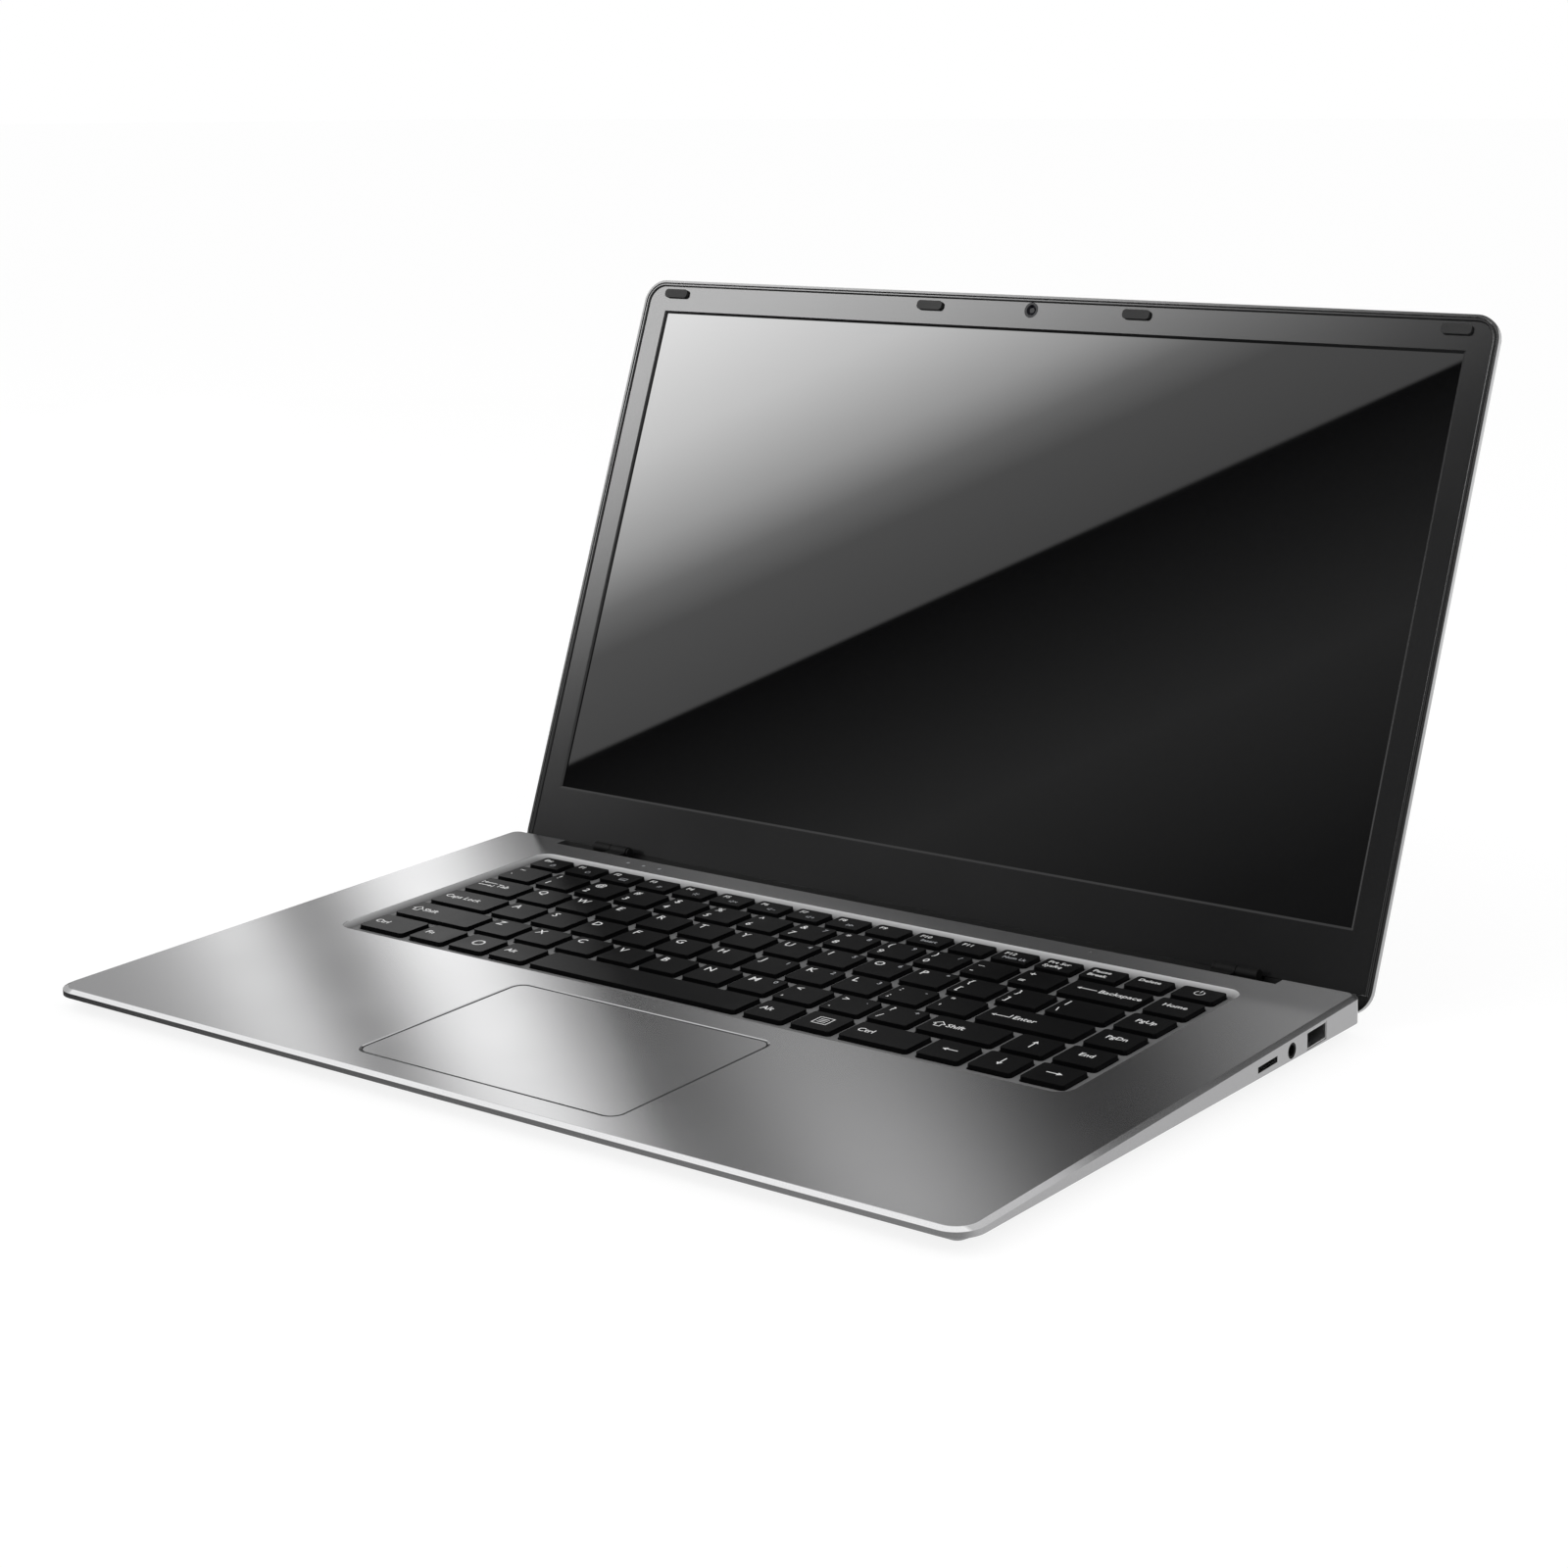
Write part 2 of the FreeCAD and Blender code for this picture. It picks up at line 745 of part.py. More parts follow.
def key_domes():
    """A rubber dome under the middle of every cap."""
    domes = []
    for run in KEY_RUNS + [PAGING_RUN]:
        name, row, column, columns, count = run
        axis, pitch = run_step(run)
        for i in range(count):
            x = key_x(column, columns)
            y = key_y(row)
            if axis == "X_Axis":
                x = "%s + %d * %s" % (x, i, pitch)
            else:
                y = "%s + %d * %s" % (y, i, pitch)
            height = "membrane_level - well_depth - key_sink - seat_gap"
            domes.append(cone(name + "_dome", "dome_radius", "dome_top_radius", height,
                              x, y, "-membrane_level"))
    node(group("key_domes", domes), "key_domes", "deck")


def keyboard_plates():
    """The membrane under the web, and the back plate with stand-offs for the mainboard."""
    membrane = rounded_plate("keyboard_membrane", "well_width", "well_length", "membrane_thickness",
                             "well_corner", "0", "well_middle", "-membrane_level")
    node(membrane, "keyboard_membrane", "deck")
    plate = rounded_plate("keyboard_back_plate", "well_width", "well_length", "back_plate_thickness",
                          "well_corner", "0", "well_middle", "-plate_level")
    columns = ["board_left + standoff_inset + %d * standoff_pitch" % i for i in range(STANDOFF_COLUMNS)]
    rows = ["board_front + standoff_edge", "board_front + board_depth - standoff_edge"]
    places = [(x, y) for x in columns for y in rows]
    sketch = circles(new_sketch(plate, "XY_Plane", level="-plate_low"), "standoff_radius", places)
    pad(plate, sketch, "standoff_height", down=True)
    node(plate, "keyboard_back_plate", "deck")


# Base


def mirrored(x, y):
    """A place on the right and its twin on the left."""
    return [(x, y), ("-(%s)" % x, y)]


def screw_places():
    """Where the bottom screws go in, on the deck's own axes at the seam."""
    side = "base_width / 2 - side_screw_inset"
    rear = "base_depth - rear_screw_back"
    places = mirrored("front_screw_side", "front_screw_inset")
    places += mirrored(side, "front_screw_inset")
    places += mirrored(side, "well_front - middle_screw_gap")
    places += mirrored("rear_screw_side", rear)
    places += mirrored("base_width / 2 - rear_corner_screw_inset", rear)
    return places


def on_table(y):
    """The table's Y of a place on the seam given by the deck's Y."""
    return "(%s) / cos(deck_tilt) + rim_front * tan(deck_tilt)" % y


def port_board_posts():
    x = "port_board_x + post_inset"
    return [(x, "port_board_front + post_inset"), (x, "port_board_front + port_board_depth - post_inset")]


def side_opening(body, side, y, level, shape, *sizes):
    """Cuts a socket's opening through the right or the left rim."""
    sketch = new_sketch(body, "YZ_Plane", y, level, "base_width / 2" if side > 0 else "-base_width / 2")
    shape(sketch, *["%s + %d * port_play" % (size, 1 if shape is circles else 2) for size in sizes])
    pocket(body, sketch, "2 * rim_wall", up=side < 0)


def top_case():
    body = new_body("deck_shell")
    outline = rectangle(new_sketch(body, "XY_Plane", y="base_depth / 2"), "base_width", "base_depth")
    slab = pad(body, outline, "seam_rear", down=True)
    middle = value("base_depth / 2")
    side = value("base_width / 2")
    slab = fillet(body, slab, lambda at, along: upright(along) and at.y < middle, "front_corner")
    slab = fillet(body, slab, lambda at, along: upright(along) and same(abs(at.x), side) and at.y > middle,
                  "rear_corner")
    chamfer(body, slab, lambda at, along: same(at.z, 0), "bevel_width", "bevel_drop", flip=False)
    notch = rectangle(new_sketch(body, "XY_Plane", y="base_depth"), "notch_width", "2 * notch_depth")
    pocket(body, notch, "2 * seam_rear")
    cavity = new_sketch(body, "XY_Plane", y="(rim_wall + notch_front) / 2", level="-deck_thickness")
    rounded_rectangle(cavity, "base_width - 2 * rim_wall", "notch_front - rim_wall",
                      "front_corner - rim_wall")
    pocket(body, cavity, "2 * seam_rear")
    top_case_inside(body)
    top_case_holes(body)
    node(cut("top_case", body, key_openings()), "top_case", "deck")


def top_case_inside(body):
    """The keyboard's tub and its well, screw bosses and port board posts, trimmed along the seam."""
    tub = new_sketch(body, "XY_Plane", y="well_middle", level="-web_level")
    rounded_rectangle(tub, "well_width", "well_length", "well_corner")
    pad(body, tub, "web_level - deck_thickness / 2")
    bosses = new_sketch(body, "XY_Plane", level="-deck_thickness / 2")
    circles(bosses, "boss_radius", screw_places())
    pad(body, bosses, "seam_rear", down=True)
    posts = new_sketch(body, "XY_Plane", level="-deck_thickness / 2")
    circles(posts, "post_radius", port_board_posts())
    pad(body, posts, "board_level - deck_thickness / 2", down=True)
    seam = polygon(new_sketch(body, "YZ_Plane"), [
        ("-rim_wall", "rim_wall * tan(deck_tilt) - seam_front"),
        ("base_depth + rim_wall", "-rim_wall * tan(deck_tilt) - seam_rear"),
        ("base_depth + rim_wall", "-2 * seam_rear"),
        ("-rim_wall", "-2 * seam_rear"),
    ])
    pocket(body, seam, "2 * base_width", both_ways=True)
    well = new_sketch(body, "XY_Plane", y="well_middle")
    rounded_rectangle(well, "well_width", "well_length", "well_corner")
    pocket(body, well, "well_depth", slope="well_slope")


def key_openings():
    """One opening through the well's floor for each key."""
    openings = []
    for run in KEY_RUNS + [PAGING_RUN]:
        name, row, column, columns, count = run
        body = new_body(name + "_opening")
        sketch = new_sketch(body, "XY_Plane", key_x(column, columns), key_y(row), "-well_depth / 2")
        rounded_rectangle(sketch, key_width(columns) + " + 2 * key_play", key_depth(row) + " + 2 * key_play",
                          "key_corner + key_play")
        opening = pad(body, sketch, "web_level", down=True)
        if count > 1:
            axis, pitch = run_step(run)
            repeat(body, opening, axis, pitch, count)
        openings.append(body)
    return group("key_openings", openings)


def top_case_holes(body):
    """Openings for the touchpad, lights, microphone, screws and sockets."""
    touchpad = new_sketch(body, "XY_Plane", y="pad_middle")
    rounded_rectangle(touchpad, "pad_width + 2 * pad_gap", "pad_depth + 2 * pad_gap", "pad_corner + pad_gap")
    pocket(body, touchpad, "2 * deck_thickness")
    lights = circles(new_sketch(body, "XY_Plane"), "light_radius + light_play", light_places())
    pocket(body, lights, "2 * deck_thickness")
    microphone = new_sketch(body, "XY_Plane")
    circles(microphone, "mic_hole_radius", [("mic_x", "base_depth - mic_back")])
    pocket(body, microphone, "2 * deck_thickness")
    screws = new_sketch(body, "XY_Plane", level="-deck_thickness")
    pocket(body, circles(screws, "screw_radius + screw_play", screw_places()), "seam_rear")
    for side in (1, -1):
        side_opening(body, side, "usb_y", "-port_level", rectangle, "usb_width", "usb_height")
    side_opening(body, 1, "audio_y", "-port_level", circles, "audio_nose")
    side_opening(body, 1, "card_y", "-card_level", rectangle, "card_mouth_width", "card_mouth_height")
    side_opening(body, -1, "video_y", "-port_level", rectangle, "video_width", "video_height")
    side_opening(body, -1, "power_y", "-port_level", circles, "power_bore + power_ring")


def bottom_cover():
    """A shallow pan with leaning sides, screw posts inside and slots under the speakers."""
    body = new_body("bottom_cover")
    outline = new_sketch(body, "XY_Plane", y="pan_middle")
    rounded_rectangle(outline, "pan_width", "pan_length", "pan_corner")
    pad(body, outline, "pan_depth", down=True, slope="pan_slope")
    inside = new_sketch(body, "XY_Plane", y="pan_middle")
    rounded_rectangle(inside, "pan_width - 2 * pan_wall", "pan_length - 2 * pan_wall",
                      "pan_corner - pan_wall")
    pocket(body, inside, "pan_room", slope="pan_slope * pan_room / pan_depth")
    places = [(x, on_table(y)) for x, y in screw_places()]
    posts = circles(new_sketch(body, "XY_Plane", level="-seat_gap"), "boss_radius", places)
    pad(body, posts, "pan_room + pan_floor / 2", down=True)
    pocket(body, circles(new_sketch(body, "XY_Plane"), "screw_radius + screw_play", places), "2 * pan_depth")
    heads = new_sketch(body, "XY_Plane", level="-pan_depth")
    circles(heads, "screw_head_radius + screw_play", places)
    pocket(body, heads, "screw_head_height + screw_head_sink", up=True)
    for x, y in mirrored("speaker_x", on_table("speaker_y")):
        first = "%s - %d * vent_pitch / 2" % (y, VENTS - 1)
        slot = new_sketch(body, "XY_Plane", x, first, "-pan_depth / 2")
        rounded_rectangle(slot, "vent_length", "vent_width", "end_round * vent_width")
        repeat(body, pocket(body, slot, "pan_depth"), "Y_Axis", "vent_pitch", VENTS)
    node(body, "bottom_cover", "table")


def rubber_feet():
    feet = []
    for row in ("foot_front", "base_depth - foot_back"):
        for x, y in mirrored("base_width / 2 - foot_side", row):
            feet.append(rounded_plate("foot", "foot_length", "foot_width", "foot_height", "foot_corner",
                                      x, y, "-pan_depth"))
    node(group("rubber_feet", feet), "rubber_feet", "table")


def bottom_screws():
    body = new_body("bottom_screws")
    places = [(x, on_table(y)) for x, y in screw_places()]
    low = "screw_head_sink - pan_depth"
    heads = circles(new_sketch(body, "XY_Plane", level=low), "screw_head_radius", places)
    pad(body, heads, "screw_head_height")
    shanks = circles(new_sketch(body, "XY_Plane", level=low), "screw_radius", places)
    pad(body, shanks, "pan_depth - screw_head_sink + screw_bite")
    node(body, "bottom_screws", "table")


def hinge_trough():
    """The dark strip in the notch behind the deck, with windows for the hinge arms."""
    half = "(notch_width / 2 - trough_gap)"
    low = "(trough_level + trough_floor)"
    front = "notch_front - trough_wall"
    wall = block("trough_wall", "2 * " + half, "trough_wall", low + " - under_deck",
                 "-" + half, front, "-" + low)
    ledge = block("trough_ledge", "2 * " + half, "trough_wall + trough_reach", "trough_floor",
                  "-" + half, front, "-" + low)
    drop = "(seam_front + (notch_front + trough_reach - trough_wall) * tan(deck_tilt) - trough_gap)"
    lip = block("trough_lip", "2 * " + half, "trough_wall", drop + " - trough_level",
                "-" + half, "notch_front + trough_reach - trough_wall", "-" + drop)
    windows = []
    for side in (1, -1):
        length = "knuckle_span + 2 * bracket_play"
        height = "bracket_arm_height + bracket_play"
        windows.append(block("trough_window", length, "3 * trough_wall", height + " + seat_gap",
                             sided(side, "knuckle_inner - bracket_play", length),
                             "notch_front - 2 * trough_wall", "-under_deck - (%s)" % height))
    strip = cut("hinge_trough", fuse("trough_strip", [wall, ledge, lip]), group("trough_windows", windows))
    node(strip, "hinge_trough", "deck")


def sided(side, inner, length):
    """The low X of a piece that starts at inner and runs outward on the right or the left."""
    return inner if side > 0 else "-(%s) - (%s)" % (inner, length)


# Touchpad


def touchpad():
    """A plate and its board, rocking on a bead near the rear of a fixed tray, over a click switch."""
    plate = rounded_plate("touchpad_plate", "pad_width", "pad_depth", "pad_thickness", "pad_corner",
                          "0", "pad_middle", "-pad_inset")
    node(plate, "touchpad_plate", "deck")
    board = rounded_plate("touchpad_board", "pad_width - 2 * pad_board_inset",
                          "pad_depth - 2 * pad_board_inset", "pad_board_thickness", "pad_corner",
                          "0", "pad_middle", "-pad_inset - pad_thickness")
    node(board, "touchpad_board", "deck")
    width = "(tray_inner_width + 2 * tray_wall)"
    depth = "(tray_inner_depth + 2 * tray_wall)"
    low = "(tray_level + tray_floor)"
    outside = block("tray_outside", width, depth, low + " - under_deck",
                    "-%s / 2" % width, "pad_middle - %s / 2" % depth, "-" + low)
    inside = block("tray_inside", "tray_inner_width", "tray_inner_depth", "tray_level",
                   "-tray_inner_width / 2", "pad_middle - tray_inner_depth / 2", "-tray_level")
    bead_half = "(pad_width / 2 - pad_board_inset - bead_inset)"
    bead = cylinder("tray_bead", "bead_radius", "2 * " + bead_half, "-" + bead_half, "bead_y",
                    "-pad_low - bead_gap - bead_radius", ALONG_X)
    switch = block("tray_switch", "switch_size", "switch_size", "tray_level - pad_low - pad_travel",
                   "-switch_size / 2", "pad_front + switch_front - switch_size / 2", "-tray_level")
    tray = fuse("touchpad_tray", [cut("tray_box", outside, inside), bead, switch])
    node(tray, "touchpad_tray", "deck")


# Boards


def boards():
    """The mainboard with slots for the left sockets, what it carries, and the right port board."""
    board = block("board_blank", "board_width", "board_depth", "board_thickness",
                  "board_left", "board_front", "-board_low")
    slots = []
    for name, length, width, y in (("usb", "usb_length", "usb_width", "usb_y"),
                                   ("video", "video_length", "video_width", "video_y")):
        slots.append(block(name + "_board_slot", length + " - port_face - board_left + 2 * board_slot_gap",
                           width + " + 2 * board_slot_gap", "3 * board_thickness",
                           "board_left - board_slot_gap", "%s - %s / 2 - board_slot_gap" % (y, width),
                           "-board_low - board_thickness"))
    node(cut("mainboard", board, group("board_slots", slots)), "mainboard", "deck")
    chips = [block("processor", "chip_size", "chip_size", "chip_height", "chip_x - chip_size / 2",
                   "chip_y - chip_size / 2", "-board_low - chip_height")]
    for x in ("chip_x - memory_side", "chip_x + memory_side"):
        for y in ("chip_y - memory_row / 2", "chip_y + memory_row / 2"):
            chips.append(block("memory_chip", "memory_width", "memory_depth", "chip_height",
                               x + " - memory_width / 2", y + " - memory_depth / 2",
                               "-board_low - chip_height"))
    node(group("board_chips", chips), "board_chips", "deck")
    spreader = rounded_plate("heat_spreader", "spreader_width", "spreader_depth", "spreader_thickness",
                             "cell_corner", "chip_x", "chip_y", "-board_low - chip_height")
    node(spreader, "heat_spreader", "deck")
    modules = []
    for name, width, x in (("storage_module", "storage_width", "storage_place"),
                           ("wireless_module", "wireless_width", "wireless_place")):
        modules.append(block(name, width, "module_depth", "module_thickness",
                             "board_left + %s - %s / 2" % (x, width), "board_front + module_edge",
                             "-board_low - module_thickness"))
    node(group("board_modules", modules), "board_modules", "deck")
    port_board()


def port_board():
    blank = block("port_board_blank", "port_board_width", "port_board_depth", "board_thickness",
                  "port_board_x", "port_board_front", "-board_low")
    slots = []
    for name, face in (("usb", "port_face"), ("audio", "wall_face")):
        slots.append(block(name + "_port_slot", name + "_length", name + "_width + 2 * board_slot_gap",
                           "3 * board_thickness", "%s - %s_length - board_slot_gap" % (face, name),
                           "%s_y - %s_width / 2 - board_slot_gap" % (name, name),
                           "-board_low - board_thickness"))
    node(cut("port_board", blank, group("port_slots", slots)), "port_board", "deck")


def battery_and_speakers():
    cells = []
    for step in ("0", "cell_width + cell_gap"):
        for x, y in mirrored("cell_inner + cell_width / 2 + " + step, "cell_front + cell_depth / 2"):
            cells.append(rounded_plate("battery_cell", "cell_width", "cell_depth", "cell_thickness",
                                       "cell_corner", x, y, "-under_deck"))
    cells.append(block("battery_board", "battery_board_width", "battery_board_depth",
                       "battery_board_thickness", "-battery_board_width / 2",
                       "pad_middle + tray_inner_depth / 2 + tray_wall + battery_board_gap",
                       "-under_deck - battery_board_thickness"))
    node(group("battery_pack", cells), "battery_pack", "deck")
    speakers = [rounded_plate("speaker", "speaker_width", "speaker_depth", "speaker_height", "speaker_corner",
                              x, y, "-under_deck") for x, y in mirrored("speaker_x", "speaker_y")]
    node(group("speakers", speakers), "speakers", "deck")


def light_places():
    return [("light_first + %d * light_pitch" % i, "base_depth - light_back") for i in range(LIGHTS)]


def lights_and_microphone():
    """Three light pipes standing on their board, and the microphone under its hole."""
    pieces = [cylinder("light_pipe", "light_radius", "under_deck", x, y, "-under_deck - light_play")
              for x, y in light_places()]
    pieces.append(block("light_board", "%d * light_pitch + 2 * light_board_edge" % (LIGHTS - 1),
                        "light_board_depth", "light_board_thickness", "light_first - light_board_edge",
                        "base_depth - light_back - light_board_depth / 2",
                        "-under_deck - light_board_thickness"))
    node(fuse("status_lights", pieces), "status_lights", "deck")
    microphone = block("microphone_can", "mic_size", "mic_size", "mic_height", "mic_x - mic_size / 2",
                       "base_depth - mic_back - mic_size / 2", "-under_deck - mic_height")
    node(group("microphone", [microphone]), "microphone", "deck")


# Sockets


def usb_sockets():
    """One socket on each side: a thin metal shell open at its face, with a tongue inside."""
    shells = []
    tongues = []
    for side in (1, -1):
        start = "port_face - usb_length"
        outside = block("usb_outside", "usb_length", "usb_width", "usb_height",
                        sided(side, start, "usb_length"), "usb_y - usb_width / 2",
                        "-port_level - usb_height / 2")
        start += " + usb_wall"
        inside = block("usb_inside", "usb_length", "usb_width - 2 * usb_wall", "usb_height - 2 * usb_wall",
                       sided(side, start, "usb_length"), "usb_y - usb_width / 2 + usb_wall",
                       "-port_level - usb_height / 2 + usb_wall")
        shells.append(cut("usb_shell", outside, inside))
        tongues.append(block("usb_tongue", "tongue_length", "tongue_width", "tongue_height",
                             sided(side, start, "tongue_length"), "usb_y - tongue_width / 2",
                             "tongue_rise - port_level - tongue_height / 2"))
    node(group("usb_shells", shells), "usb_shells", "deck")
    node(group("usb_tongues", tongues), "usb_tongues", "deck")


def audio_jack():
    box = block("audio_box", "audio_length", "audio_width", "audio_height", "wall_face - audio_length",
                "audio_y - audio_width / 2", "-port_level - audio_height / 2")
    nose = cylinder("audio_nose_piece", "audio_nose", "port_face - wall_face", "wall_face", "audio_y",
                    "-port_level", ALONG_X)
    bore = cylinder("audio_bore_piece", "audio_bore", "audio_bore_length + rim_wall",
                    "port_face - audio_bore_length", "audio_y", "-port_level", ALONG_X)
    node(cut("audio_jack", fuse("audio_solid", [box, nose]), bore), "audio_jack", "deck")


def card_socket():
    box = block("card_box", "card_length", "card_width", "card_height", "wall_face - card_length",
                "card_y - card_width / 2", "-board_level")
    slot = block("card_slot", "card_slot_depth + rim_wall", "card_slot_width", "card_slot_height",
                 "wall_face - card_slot_depth", "card_y - card_slot_width / 2",
                 "-card_level - card_slot_height / 2")
    node(cut("card_socket", box, slot), "card_socket", "deck")


def video_socket():
    outside = block("video_outside", "video_length", "video_width", "video_height", "-port_face",
                    "video_y - video_width / 2", "-port_level - video_height / 2")
    inside = block("video_inside", "video_length", "video_width - 2 * video_wall",
                   "video_height - 2 * video_wall", "-port_face - video_wall",
                   "video_y - video_width / 2 + video_wall", "-port_level - video_height / 2 + video_wall")
    tongue = block("video_tongue_piece", "video_length / 2", "video_width - 4 * video_wall", "video_tongue",
                   "-port_face + video_length / 2 - video_wall", "video_y - video_width / 2 + 2 * video_wall",
                   "-port_level - video_tongue / 2")
    node(fuse("video_socket", [cut("video_shell", outside, inside), tongue]), "video_socket", "deck")


def power_inlet():
    """A round socket with a pin in its middle."""
    box = block("power_box", "power_length", "power_width", "power_width", "-wall_face",
                "power_y - power_width / 2", "-port_level - power_width / 2")
    nose = cylinder("power_nose", "power_bore + power_ring", "port_face - wall_face", "-port_face", "power_y",
                    "-port_level", ALONG_X)
    bore = cylinder("power_bore_piece", "power_bore", "power_bore_length + rim_wall", "-port_face - rim_wall",
                    "power_y", "-port_level", ALONG_X)
    pin = cylinder("power_pin_piece", "power_pin", "power_pin_length + power_ring",
                   "-port_face + power_bore_length - power_pin_length", "power_y", "-port_level", ALONG_X)
    hollow = cut("power_hollow", fuse("power_solid", [box, nose]), bore)
    node(fuse("power_inlet", [hollow, pin]), "power_inlet", "deck")


# Hinges


def hinge_brackets():
    """Leaves under the deck, each with an arm to a bored knuckle on the hinge axis."""
    brackets = []
    for side in (1, -1):
        leaf = block("bracket_leaf", "bracket_length", "bracket_depth", "bracket_thickness",
                     sided(side, "bracket_inner", "bracket_length"), "bracket_back - bracket_depth",
                     "-under_deck - bracket_thickness")
        start = sided(side, "knuckle_inner", "knuckle_span")
        arm_front = "bracket_back - bracket_depth / 2"
        arm = block("bracket_arm", "knuckle_span", "hinge_back - (%s)" % arm_front, "bracket_arm_height",
                    start, arm_front, "-under_deck - bracket_arm_height")
        knuckle = cylinder("bracket_knuckle", "knuckle_radius", "knuckle_span", start, "hinge_back",
                           "-hinge_drop", ALONG_X)
        bore = cylinder("bracket_bore", "pin_radius + pin_play", "knuckle_span", start, "hinge_back",
                        "-hinge_drop", ALONG_X)
        brackets.append(cut("hinge_bracket", fuse("bracket_solid", [leaf, arm, knuckle]), bore))
    node(group("hinge_brackets", brackets), "hinge_brackets", "deck")


def hinge_arms():
    """Leaves on the lid's floor, each with a neck to a bored knuckle on the hinge axis."""
    arms = []
    for side in (1, -1):
        leaf = block("arm_leaf", "arm_length", "arm_height", "arm_thickness",
                     sided(side, "arm_inner", "arm_length"), "-neck_low", "-lid_floor")
        start = sided(side, "hinge_side + knuckle_gap / 2", "knuckle_span")
        neck = block("arm_neck", "knuckle_span", "neck_height", "lid_floor", start, "-neck_low", "-lid_floor")
        knuckle = cylinder("arm_knuckle", "knuckle_radius", "knuckle_span", start, "0", "0", ALONG_X)
        bore = cylinder("arm_bore", "pin_radius + pin_seat", "knuckle_span", start, "0", "0", ALONG_X)
        arms.append(cut("hinge_arm", fuse("arm_solid", [leaf, neck, knuckle]), bore))
    node(group("hinge_arms", arms), "hinge_arms", "lid")


def hinge_pins():
    pins = []
    for side in (1, -1):
        shank_length = "2 * knuckle_length + knuckle_gap"
        shank = cylinder("pin_shank", "pin_radius", shank_length,
                         sided(side, "knuckle_inner - knuckle_gap", shank_length), "0", "0", ALONG_X)
        head = cylinder("pin_head", "pin_head_radius", "pin_head_length",
                        sided(side, "knuckle_inner - knuckle_gap - pin_head_length", "pin_head_length"),
                        "0", "0", ALONG_X)
        pins.append(fuse("hinge_pin", [shank, head]))
    node(group("hinge_pins", pins), "hinge_pins", "lid")


# Lid


def lid_shell():
    """A tray with a soft back edge, a step for the bezel and a deep middle."""
    body = new_body("lid_shell")
    outline = new_sketch(body, "XY_Plane", y="lid_middle", level="-lid_face")
    rounded_rectangle(outline, "lid_width", "lid_height", "lid_corner")
    slab = pad(body, outline, "lid_thickness", down=True)
    back = -value("lid_face + lid_thickness")
    fillet(body, slab, lambda at, along: same(at.z, back), "lid_back_round")
    for inset, depth in (("lid_rim", "bezel_thickness"), ("lid_inner_rim", "lid_floor - lid_face")):
        sketch = new_sketch(body, "XY_Plane", y="lid_middle", level="-lid_face")
        rounded_rectangle(sketch, "lid_width - 2 * " + inset, "lid_height - 2 * " + inset,
                          "lid_corner - " + inset)
        pocket(body, sketch, depth)
    node(body, "lid_shell", "lid")


def lid_inlay(body, recess, low, high):
    """A plate that fills the step in the lid's rim between two heights up the lid."""
    outline = new_sketch(body, "XY_Plane", y="lid_middle", level="-lid_face - (%s)" % recess)
    rounded_rectangle(outline, "bezel_width", "inlay_height", "bezel_corner")
    pad(body, outline, "bezel_thickness - (%s)" % recess, down=True)
    for edge, side in ((low, "-"), (high, "+")):
        rest = new_sketch(body, "XY_Plane", y="%s %s lid_height / 2" % (edge, side), level="-lid_face")
        trimmed = pocket(body, rectangle(rest, "lid_width", "lid_height"), "2 * bezel_thickness")
    return trimmed


def lid_bezel():
    """A glossy frame with a raised bead round its outer edge and a lip leaning in to the screen."""
    body = new_body("lid_bezel")
    lid_inlay(body, "0", "bezel_foot", "hinge_back")
    face = new_sketch(body, "XY_Plane", y="(bezel_top - bead_width) / 2 - bezel_corner", level="-lid_face")
    rounded_rectangle(face, "bezel_width - 2 * bead_width", "bezel_top - bead_width + 2 * bezel_corner",
                      "bezel_corner - bead_width")
    recess = pocket(body, face, "bezel_recess")
    top = -value("lid_face")
    foot = value("bezel_foot")
    fillet(body, recess, lambda at, along: same(at.z, top) and at.y > foot + TOUCH, "bead_round")
    lip = new_sketch(body, "XY_Plane", y="screen_middle", level="-bezel_face")
    rectangle(lip, "screen_width + 2 * lip_width", "screen_height + 2 * lip_width")
    pocket(body, lip, "lip_depth", slope="lip_width")
    window = new_sketch(body, "XY_Plane", y="screen_middle", level="-lid_face")
    pocket(body, rectangle(window, "screen_width", "screen_height"), "2 * bezel_thickness")
    camera = new_sketch(body, "XY_Plane", y="camera_y", level="-lid_face")
    pocket(body, circles(camera, "camera_radius + camera_play"), "2 * bezel_thickness")
    node(body, "lid_bezel", "lid")


def lid_foot_strip():
    """The dark strip along the lid's foot, open above for the hinge necks."""
    body = new_body("lid_foot_strip")
    top = "bezel_foot - bezel_play"
    lid_inlay(body, "foot_strip_recess", "-lid_tail", top)
    for x, y in mirrored("hinge_side + knuckle_gap / 2 + knuckle_span / 2", top):
        window = new_sketch(body, "XY_Plane", x, y, "-lid_face")
        rectangle(window, "knuckle_span + 2 * bracket_play", "2 * (%s + neck_low + bracket_play)" % top)
        pocket(body, window, "2 * bezel_thickness")
    node(body, "lid_foot_strip", "lid")


def display():
    """The glass cell behind the bezel and the backlight under it."""
    glass = block("display_glass_piece", "display_width", "display_height", "display_glass",
                  "-display_width / 2", "chin - screen_overlap", "-backlight_level")
    node(group("display_cell", [glass]), "display_cell", "lid")
    width = "(display_width + 2 * backlight_edge)"
    light = block("backlight_piece", width, "display_height + backlight_foot", "lid_floor - backlight_level",
                  "-%s / 2" % width, "backlight_low", "-lid_floor")
    node(group("backlight", [light]), "backlight", "lid")


